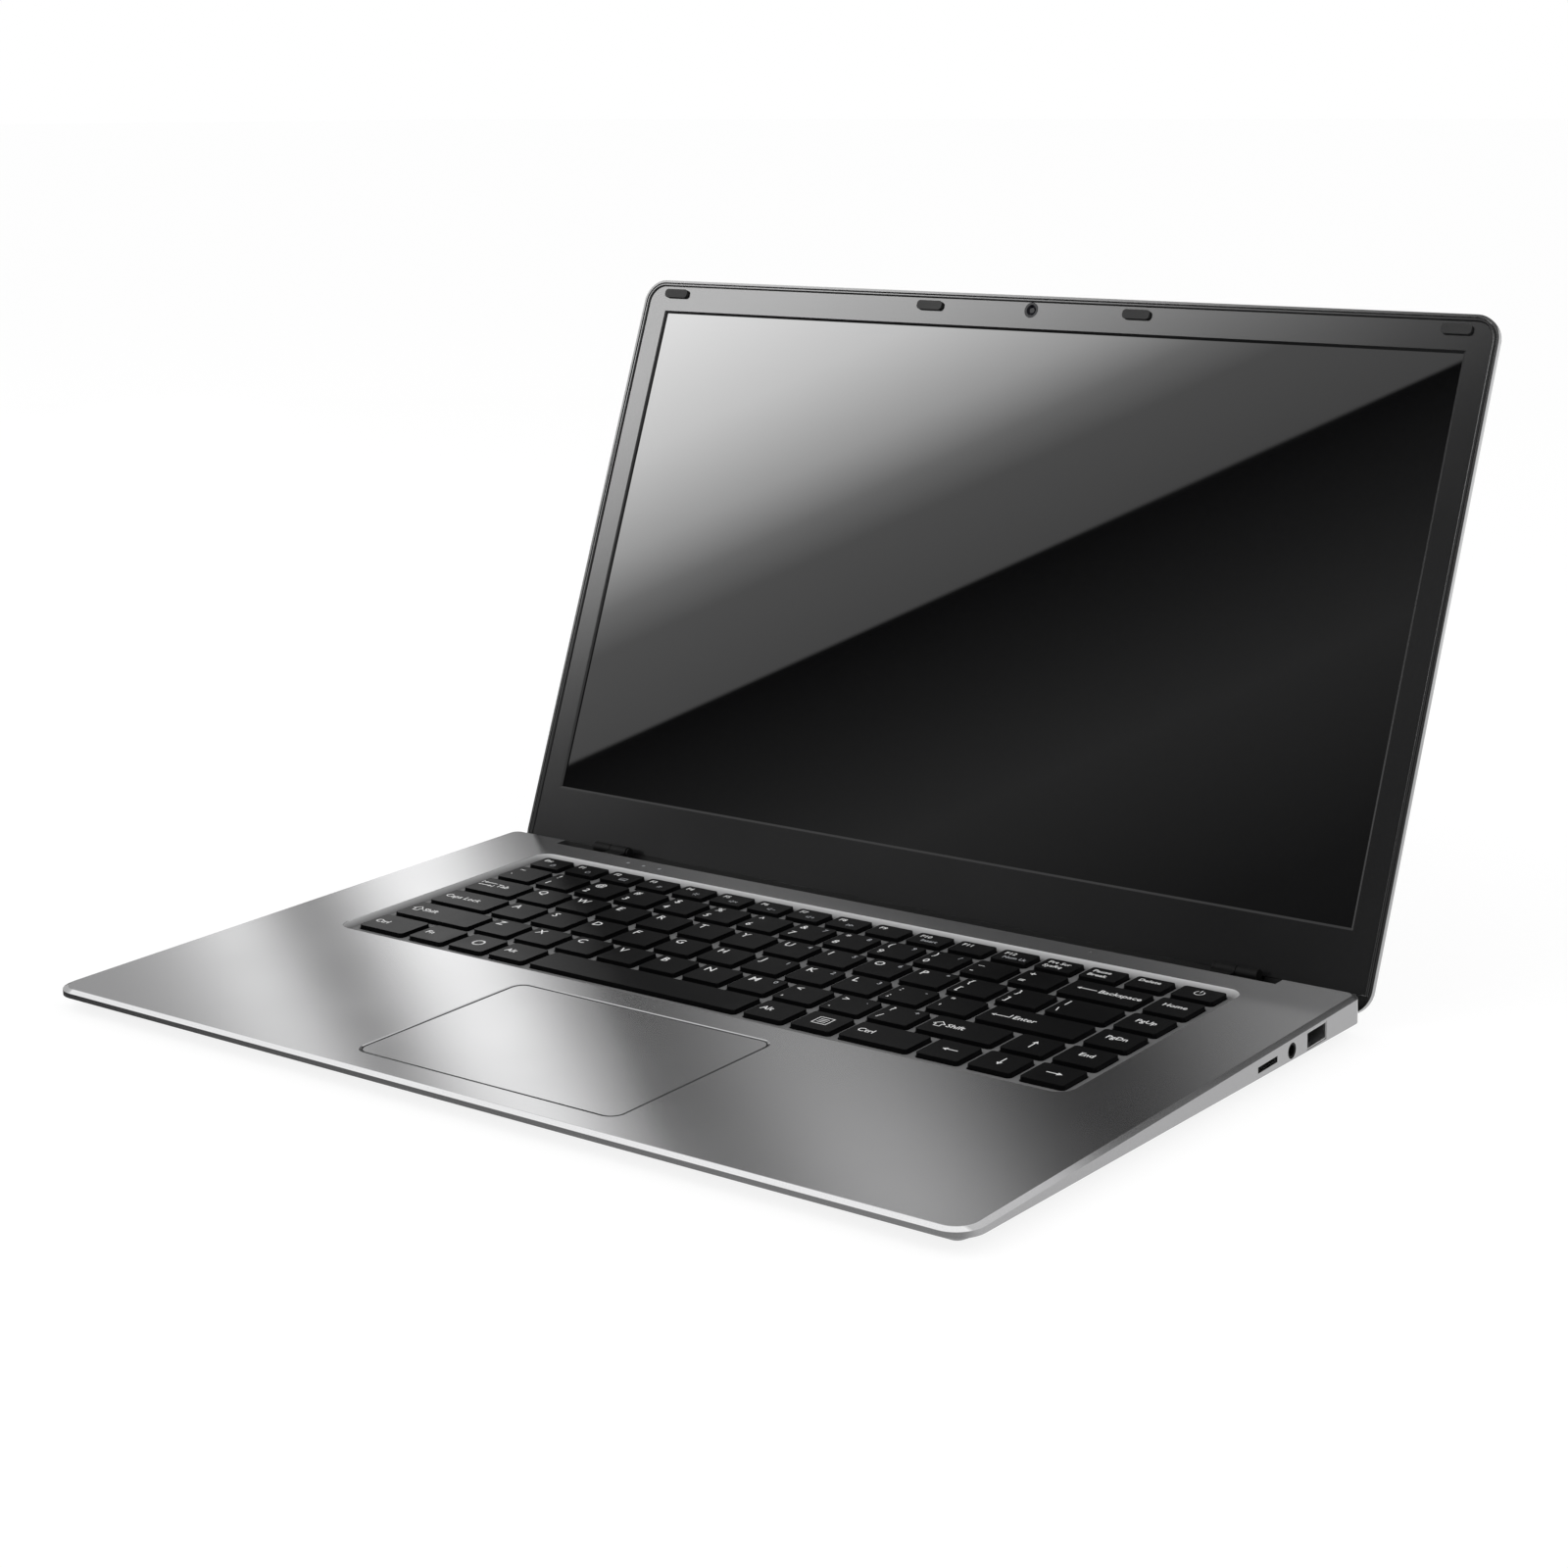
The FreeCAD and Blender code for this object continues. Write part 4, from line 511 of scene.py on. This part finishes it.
    def pad_edge(self, tree, target):
        """Rounds the deck's edge down towards the touchpad."""
        past = tree.nodes.new("ShaderNodeCombineXYZ")
        for direction, part in zip((ACROSS, DECK_BACK), past.inputs):
            low, high = spans(NODES["touchpad_plate"], direction)
            aside = worked(tree, "SUBTRACT", distance_along(tree, direction), (low + high) / 2)
            aside = worked(tree, "ABSOLUTE", aside)
            aside = worked(tree, "SUBTRACT", aside, (high - low) / 2 - PAD_CORNER)
            tree.links.new(worked(tree, "MAXIMUM", aside, 0.0), part)
        length = tree.nodes.new("ShaderNodeVectorMath")
        length.operation = "LENGTH"
        tree.links.new(past.outputs["Vector"], length.inputs[0])
        edge = PAD_CORNER + PAD_GAP
        bump = tree.nodes.new("ShaderNodeBump")
        bump.inputs["Strength"].default_value = 1.0
        bump.inputs["Distance"].default_value = PAD_EDGE_DROP
        tree.links.new(mapped(tree, length.outputs["Value"], (edge, edge + PAD_EDGE)), bump.inputs["Height"])
        tree.links.new(target.links[0].from_socket, bump.inputs["Normal"])
        tree.links.new(bump.outputs["Normal"], target)

    def shaded(self, tree, target, mask, tone):
        """Multiplies what feeds the target by a tone, where the mask is one."""
        mix = tree.nodes.new("ShaderNodeMix")
        mix.data_type = "RGBA"
        mix.blend_type = "MULTIPLY"
        factor, first, second = (s for s in mix.inputs if s.enabled)
        tree.links.new(mask, factor)
        tree.links.new(target.links[0].from_socket, first)
        tree.links.new(tone, second)
        tree.links.new(next(s for s in mix.outputs if s.enabled), target)

    def dulled(self, tree, target, mask, level):
        """Blends what feeds the target into a level, where the mask is one."""
        mix = tree.nodes.new("ShaderNodeMix")
        tree.links.new(mask, mix.inputs["Factor"])
        if target.is_linked:
            tree.links.new(target.links[0].from_socket, mix.inputs["A"])
        else:
            mix.inputs["A"].default_value = target.default_value
        mix.inputs["B"].default_value = level
        tree.links.new(mix.outputs["Result"], target)


class LAPTOP_OT_keys(bpy.types.Operator):
    """Gives the key caps their black plastic and soft edges"""
    bl_idname = "laptop.keys"
    bl_label = "Key caps"

    def execute(self, context):
        finishes = context.scene.laptop_finishes
        black = finish_material("key_plastic", finishes.key_black, 0.24, fine=2200.0, broad=60.0, shade=0.12,
                                polish=0.03, bump=0.03, shine=0.05)
        paint(black, *KEY_NODES)
        soften(KEY_EDGE, 2, *KEY_NODES)
        return {"FINISHED"}


class LAPTOP_OT_print(bpy.types.Operator):
    """Prints letters, words and signs on the keys"""
    bl_idname = "laptop.print"
    bl_label = "Key print"

    def execute(self, context):
        finishes = context.scene.laptop_finishes
        self.settings = context.scene.laptop_print
        self.tones = {
            "white": finish_material("print_white", finishes.print_white, 0.5, fine=4000.0, shade=0.05),
            "grey": finish_material("print_grey", finishes.print_grey, 0.5, fine=4000.0, shade=0.05),
        }
        self.letters()
        self.function_row()
        self.plain_words()
        self.signed_words()
        self.arrows()
        return {"FINISHED"}

    def start(self, name, count=1):
        return KeyPrint(name, self.settings, self.tones), key_places(name, count)

    def letters(self):
        """Each sign stands near the key's left edge, with one behind it and a small one beside it."""
        for name, signs in LETTER_RUNS.items():
            ink, keys = self.start(name, len(signs))
            for key, (main, behind, beside) in zip(keys, (sign.ljust(3) for sign in signs)):
                left = 2.1 - key.half / MM
                if behind + beside == "  " or behind == " ":
                    ink.words(key, main, left, 3.5, self.settings.letter)
                else:
                    ink.words(key, behind, left, 3.9, self.settings.letter * 0.9)
                    ink.words(key, main, left, -3.1, self.settings.letter * 0.9)
                if beside != " ":
                    ink.words(key, beside, 4.3, 4.4, self.settings.small, tone="grey", align="CENTER")
            ink.join()

    def function_row(self):
        ink, keys = self.start("function_keys", len(FUNCTION_SIGNS))
        for key, (main, second) in zip(keys, FUNCTION_SIGNS):
            left = 1.8 - key.half / MM
            ink.words(key, main, left, 2.1, self.settings.small)
            if second in DRAWN_SIGNS:
                for places in DRAWN_SIGNS[second]:
                    ink.lines(key, places, (2.0, -1.6), tone="grey", width=0.7)
            elif second in ("SysRq", "Break"):
                ink.words(key, second, left, -1.6, self.settings.small)
            elif second:
                ink.words(key, second, 0.8, -1.6, self.settings.small * 0.9, tone="grey", align="CENTER")
        ink.join()

    def plain_words(self):
        for name, (words, margin, back) in WORD_RUNS.items():
            ink, keys = self.start(name, len(words))
            for key, word in zip(keys, words):
                if margin is None:
                    ink.words(key, word, 0, back, self.settings.word * 0.92, align="CENTER")
                elif word:
                    ink.words(key, word, margin - key.half / MM, back, self.settings.word)
            if name == "left_modifier_keys":
                ink.lines(keys[1], ring(2.1, steps=16), (0, 0.3), width=1.9)
            if name == "right_modifier_keys":
                box = [(-2.8, -2.2), (2.8, -2.2), (2.8, 3.2), (-2.8, 3.2), (-2.8, -2.2)]
                ink.lines(keys[1], box)
                for y in (-0.7, 0.5, 1.7):
                    ink.bar(keys[1], (-1.6, y), (1.6, y))
            ink.join()

    def signed_words(self):
        for name, draw in (("backspace_key", self.backspace), ("enter_key", self.enter),
                           ("tab_key", self.tab), ("left_shift_key", self.shift),
                           ("right_shift_key", self.shift), ("power_key", self.power)):
            ink, keys = self.start(name)
            draw(ink, keys[0], -keys[0].half / MM)
            ink.join()

    def backspace(self, ink, key, left):
        ink.arrow(key, (left + 11.0, 0.6), 7.4, 180)
        ink.words(key, "Backspace", left + 12.0, 0.6, self.settings.word)

    def enter(self, ink, key, left):
        ink.arrow(key, (left + 9.2, -0.5), 6.8, 180)
        ink.bar(key, (left + 9.2, -0.5), (left + 9.2, 1.8), width=1.2)
        ink.words(key, "Enter", left + 10.3, 0.2, self.settings.word)

    def tab(self, ink, key, left):
        for y, tail, degrees, stop in ((2.4, 8.0, 180, 1.0), (-0.4, 1.2, 0, 8.2)):
            ink.arrow(key, (left + tail, y), 6.4, degrees, head=0.9)
            ink.bar(key, (left + stop, y - 1.0), (left + stop, y + 1.0))
        ink.words(key, "Tab", left + 9.2, 1.0, self.settings.word)

    def shift(self, ink, key, left):
        outline = [(0, 2.2), (-2.2, 0), (-1.1, 0), (-1.1, -1.8), (1.1, -1.8), (1.1, 0), (2.2, 0), (0, 2.2)]
        ink.lines(key, outline, (left + 4.4, 0.3))
        ink.words(key, "Shift", left + 7.2, 0.4, self.settings.word)

    def power(self, ink, key, left):
        ink.lines(key, ring(1.7, start=130, end=410), (0, 0.6))
        ink.bar(key, (0, 1.0), (0, 2.9))

    def arrows(self):
        for name, way in ARROW_KEYS.items():
            ink, keys = self.start(name)
            turn = math.radians(way)
            ink.arrow(keys[0], (-2.8 * math.cos(turn), 0.5 - 2.8 * math.sin(turn)), 5.6, way, head=1.2)
            ink.join()


class LAPTOP_OT_screen(bpy.types.Operator):
    """Gives the screen, bezel, camera and bumpers their finishes"""
    bl_idname = "laptop.screen"
    bl_label = "Screen and bezel"

    def execute(self, context):
        finishes = context.scene.laptop_finishes
        paint(finish_material("bezel_gloss", finishes.bezel_black, 0.16, fine=900.0, broad=12.0, shade=0.1,
                              polish=0.02, bump=0.005, shine=0.36), "lid_bezel")
        paint(finish_material("screen_glass", finishes.screen_black, 0.015, fine=500.0, broad=9.0, shade=0.15,
                              polish=0.003, bump=0.0), "display_cell")
        paint(finish_material("lens_glass", (0.004, 0.004, 0.006), 0.1, fine=500.0, shade=0.1, bump=0.0,
                              shine=0.08), "camera_lens")
        paint(finish_material("bumper_rubber", (0.02, 0.02, 0.02), 0.6, fine=2500.0, shade=0.15, bump=0.1,
                              shine=0.2), "lid_bumpers", "rubber_feet", "key_domes")
        return {"FINISHED"}


class LAPTOP_OT_plastics(bpy.types.Operator):
    """Gives the sockets, cover and inner pieces their finishes"""
    bl_idname = "laptop.plastics"
    bl_label = "Plastic pieces"

    def execute(self, context):
        dark = finish_material("dark_plastic", (0.004, 0.004, 0.004), 0.5, fine=1800.0, shade=0.15, bump=0.05,
                               shine=0.1)
        paint(dark, "hinge_trough", "lid_foot_strip", "audio_jack", "card_socket", "power_inlet", "speakers",
              "board_chips", "keyboard_membrane")
        paint(finish_material("tongue_plastic", (0.03, 0.03, 0.035), 0.4, fine=1500.0), "usb_tongues")
        paint(finish_material("cover_plastic", (0.2, 0.2, 0.21), 0.42, fine=2200.0, shade=0.08, bump=0.1),
              "bottom_cover")
        paint(finish_material("circuit_green", (0.02, 0.09, 0.05), 0.4, fine=1200.0, shade=0.2), "mainboard",
              "port_board", "touchpad_board", "lid_boards", "board_modules")
        paint(finish_material("dark_foil", (0.25, 0.25, 0.27), 0.35, metallic=0.8, fine=600.0),
              "battery_pack", "heat_spreader")
        paint(finish_material("white_sheet", (0.75, 0.75, 0.75), 0.5, fine=900.0), "backlight")
        paint(finish_material("light_pipe", (0.3, 0.31, 0.32), 0.25, fine=900.0), "status_lights")
        return {"FINISHED"}


class LAPTOP_OT_stage(bpy.types.Operator):
    """Sets the floor, room, lights and camera"""
    bl_idname = "laptop.stage"
    bl_label = "Stage"

    def execute(self, context):
        settings = context.scene.laptop_stage
        context.scene.view_settings.view_transform = "Standard"
        self.room(context, settings)
        self.floor()
        self.lamp("main_light", (-0.9, -0.9, 1.7), 1.6, settings.key_power)
        self.lamp("fill_light", (1.4, -0.6, 1.2), 1.2, settings.fill_power)
        self.deck_card()
        self.floor_card()
        self.screen_cards()
        self.camera(context, settings)
        return {"FINISHED"}

    def white_rays(self, tree):
        """A mask of the rays that see the white room: camera, glossy and transmission rays."""
        path = tree.nodes.new("ShaderNodeLightPath")
        total = path.outputs["Is Camera Ray"]
        for name in ("Is Glossy Ray", "Is Transmission Ray"):
            total = worked(tree, "MAXIMUM", total, path.outputs[name])
        return total

    def room(self, context, settings):
        world = bpy.data.worlds.new("white_room")
        context.scene.world = world
        world.use_nodes = True
        tree = world.node_tree
        strength = mapped(tree, self.white_rays(tree), (0.0, 1.0), (settings.daylight, 1.0))
        tree.links.new(strength, tree.nodes["Background"].inputs["Strength"])
        tree.nodes["Background"].inputs["Color"].default_value = (1, 1, 1, 1)

    def floor(self):
        bpy.ops.mesh.primitive_plane_add(size=60)
        floor = bpy.context.object
        floor.name = "floor"
        material = bpy.data.materials.new("pale_floor")
        material.use_nodes = True
        tree = material.node_tree
        shader = tree.nodes["Principled BSDF"]
        shader.inputs["Base Color"].default_value = (0.9, 0.9, 0.9, 1)
        shader.inputs["Roughness"].default_value = 0.9
        glow = tree.nodes.new("ShaderNodeEmission")
        glow.inputs["Strength"].default_value = FLOOR_GLOW
        mix = tree.nodes.new("ShaderNodeMixShader")
        tree.links.new(worked(tree, "MULTIPLY", self.white_rays(tree), FLOOR_GLOW_SHARE), mix.inputs["Fac"])
        tree.links.new(shader.outputs["BSDF"], mix.inputs[1])
        tree.links.new(glow.outputs["Emission"], mix.inputs[2])
        tree.links.new(mix.outputs["Shader"], tree.nodes["Material Output"].inputs["Surface"])
        floor.data.materials.append(material)

    def lamp(self, name, place, size, power):
        bpy.ops.object.light_add(type="AREA", location=place)
        lamp = bpy.context.object
        lamp.name = name
        lamp.data.size = size
        lamp.data.energy = power
        lamp.rotation_euler = (Vector((0, 0, 0.05)) - Vector(place)).to_track_quat("-Z", "Y").to_euler()
        lamp.visible_glossy = False

    def card(self, name, middle, ahead, size, measure, stops, strength, bounce=1, fade=None):
        """A studio card that one bounce of reflections sees, with bands of light along a direction."""
        bpy.ops.mesh.primitive_plane_add(size=1)
        card = bpy.context.object
        card.name = name
        turn = (-ahead).to_track_quat("Z", "Y").to_matrix().to_4x4()
        card.matrix_world = Matrix.Translation(middle) @ turn @ Matrix.Diagonal((size[0], size[1], 1, 1))
        bpy.ops.object.transform_apply(location=True, rotation=True, scale=True)
        material = bpy.data.materials.new(name)
        material.use_nodes = True
        tree = material.node_tree
        tree.nodes.remove(tree.nodes["Principled BSDF"])
        glow = tree.nodes.new("ShaderNodeEmission")
        glow.inputs["Strength"].default_value = strength
        tree.links.new(self.bands(tree, middle, measure, stops), glow.inputs["Color"])
        if fade:
            self.fade(tree, middle, fade, glow.inputs["Strength"])
        self.one_bounce(tree, bounce, glow)
        card.data.materials.append(material)
        card.visible_camera = False
        card.visible_diffuse = False
        card.visible_shadow = False

    def bands(self, tree, middle, measure, stops):
        """Grey levels at distances from the middle, along a direction."""
        first, last = stops[0][0], stops[-1][0]
        start = middle.dot(measure)
        ramp = tree.nodes.new("ShaderNodeValToRGB")
        points = ramp.color_ramp.elements
        while len(points) < len(stops):
            points.new(0.5)
        for point, (at, level) in zip(points, stops):
            point.position = (at - first) / (last - first)
            point.color = (level, level, level, 1)
        reach = (first + start, last + start)
        tree.links.new(mapped(tree, distance_along(tree, measure), reach), ramp.inputs["Fac"])
        return ramp.outputs["Color"]

    def fade(self, tree, middle, ends, strength):
        """Lowers a card's strength along a direction: each end is a distance from the middle and a share."""
        direction, (low, low_share), (high, high_share) = ends
        start = middle.dot(direction)
        full = strength.default_value
        reach = (low + start, high + start)
        levels = (full * low_share, full * high_share)
        tree.links.new(mapped(tree, distance_along(tree, direction), reach, levels), strength)

    def one_bounce(self, tree, bounce, glow):
        """Shows the glow to one bounce of light, and lets the others through."""
        depth = tree.nodes.new("ShaderNodeLightPath").outputs["Ray Depth"]
        clear = tree.nodes.new("ShaderNodeBsdfTransparent")
        mix = tree.nodes.new("ShaderNodeMixShader")
        tree.links.new(worked(tree, "COMPARE", depth, bounce, 0.5), mix.inputs["Fac"])
        tree.links.new(clear.outputs["BSDF"], mix.inputs[1])
        tree.links.new(glow.outputs["Emission"], mix.inputs[2])
        tree.links.new(mix.outputs["Shader"], tree.nodes["Material Output"].inputs["Surface"])

    def deck_card(self):
        """Soft upright bands behind the laptop, mirrored in the deck."""
        heading = math.radians(-40)
        ahead = Vector((math.sin(heading), math.cos(heading), 0))
        across = Vector((ahead.y, -ahead.x, 0))
        middle = Vector((CAMERA_PLACE.x, CAMERA_PLACE.y, 0.65)) + ahead * 2.9
        leaning = across - Vector((0, 0, 0.35))
        stops = [(-0.94, 0.25), (-0.62, 0.26), (-0.56, 0.42), (-0.505, 0.84), (-0.475, 0.7), (-0.43, 0.03),
                 (-0.395, 0.05), (-0.33, 0.88), (-0.29, 1.0), (-0.255, 0.88), (-0.205, 0.3), (-0.165, 0.1),
                 (-0.1, 0.07), (0.2, 0.1)]
        self.card("deck_card", middle, ahead, (4.0, 2.4), leaning, stops, 1.8)

    def floor_card(self):
        """A table, darker in front and to the left, mirrored in the front and right edges of the base."""
        stops = [(-0.6, 0.36), (-0.165, 0.36), (-0.148, 0.72), (0.6, 0.72)]
        middle = Vector((0, 0, 0.3 * MM))
        self.card("floor_card", middle, Vector((0, 0, -1)), (1.2, 1.2), Vector((0, 1, 0)), stops, 1.0,
                  fade=(ACROSS, (-0.2, 0.08), (0.18, 1.0)))

    def screen_cards(self):
        """A soft box with a slanting edge, mirrored in the screen, and one that the deck mirrors first."""
        ahead = Vector((-0.5438, -0.719, 0.4328))
        side = Vector((-0.7975, 0.6033, 0.0))
        above = side.cross(ahead)
        slant = side * 0.75 + above * 0.661
        stops = [(-0.6, 0.005), (-0.42, 0.01), (-0.22, 0.026), (-0.1, 0.012), (-0.002, 0.002), (0.0, 0.08),
                 (0.09, 0.1), (0.13, 0.19), (0.18, 0.44), (0.27, 0.76), (0.38, 1.0)]
        self.card("screen_card", SCREEN_MIRRORS + slant * 0.006, ahead, (1.24, 1.12), slant, stops, 15.2)
        stops = [(-0.5, 0.75), (-0.35, 0.65), (-0.28, 0.42), (-0.2, 0.12), (-0.13, 0.0), (-0.06, 0.0),
                 (-0.02, 0.1), (0.03, 0.34), (0.1, 0.8), (0.17, 1.0), (0.22, 0.85), (0.26, 0.5), (0.3, 0.28),
                 (0.35, 0.2), (0.6, 0.15)]
        middle = SCREEN_MIRRORS + side * 0.55 + above * 1.08
        self.card("lid_card", middle, ahead, (1.4, 1.0), side, stops, 9.6, bounce=2,
                  fade=(above, (-0.42, 0.4), (0.07, 1.0)))

    def camera(self, context, settings):
        """The photograph's own viewpoint: turned, tilted and rolled, with its frame moved by the shift."""
        turn, tilt, roll = (math.radians(angle) for angle in CAMERA_ANGLES)
        back = Vector((math.sin(turn) * math.cos(tilt), -math.cos(turn) * math.cos(tilt), math.sin(tilt)))
        right = Vector((0, 0, 1)).cross(back).normalized()
        up = back.cross(right)
        rolled_right = right * math.cos(roll) + up * math.sin(roll)
        rolled_up = up * math.cos(roll) - right * math.sin(roll)
        bpy.ops.object.camera_add()
        camera = bpy.context.object
        facing = Matrix((rolled_right, rolled_up, back)).transposed().to_4x4()
        camera.matrix_world = Matrix.Translation(CAMERA_PLACE) @ Matrix.Rotation(DECK_TILT, 4, "X") @ facing
        camera.data.lens = settings.lens
        camera.data.sensor_width = 36
        camera.data.shift_x, camera.data.shift_y = CAMERA_SHIFT
        context.scene.camera = camera


class LAPTOP_PT_panel(bpy.types.Panel):
    """Lists the laptop's settings and steps"""
    bl_label = "Laptop"
    bl_idname = "LAPTOP_PT_panel"
    bl_space_type = "VIEW_3D"
    bl_region_type = "UI"
    bl_category = "Laptop"

    def draw(self, context):
        for operator in OPERATORS:
            self.layout.operator(operator.bl_idname)
        scene = context.scene
        for settings in (scene.laptop_finishes, scene.laptop_print, scene.laptop_stage):
            box = self.layout.box()
            for name in settings.__annotations__:
                box.prop(settings, name)


OPERATORS = (LAPTOP_OT_metal, LAPTOP_OT_keys, LAPTOP_OT_print, LAPTOP_OT_screen, LAPTOP_OT_plastics,
             LAPTOP_OT_stage)
SETTINGS = (LaptopFinishes, LaptopPrint, LaptopStage)


def register():
    for made in SETTINGS + OPERATORS + (LAPTOP_PT_panel,):
        bpy.utils.register_class(made)
    bpy.types.Scene.laptop_finishes = bpy.props.PointerProperty(type=LaptopFinishes)
    bpy.types.Scene.laptop_print = bpy.props.PointerProperty(type=LaptopPrint)
    bpy.types.Scene.laptop_stage = bpy.props.PointerProperty(type=LaptopStage)


def unregister():
    del bpy.types.Scene.laptop_stage
    del bpy.types.Scene.laptop_print
    del bpy.types.Scene.laptop_finishes
    for made in reversed(SETTINGS + OPERATORS + (LAPTOP_PT_panel,)):
        bpy.utils.unregister_class(made)


def main():
    register()
    grain_group()
    bpy.ops.object.select_all(action="DESELECT")
    bpy.ops.laptop.metal()
    bpy.ops.laptop.keys()
    bpy.ops.laptop.print()
    bpy.ops.laptop.screen()
    bpy.ops.laptop.plastics()
    bpy.ops.laptop.stage()
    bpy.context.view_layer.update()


if __name__ == "__main__":
    main()
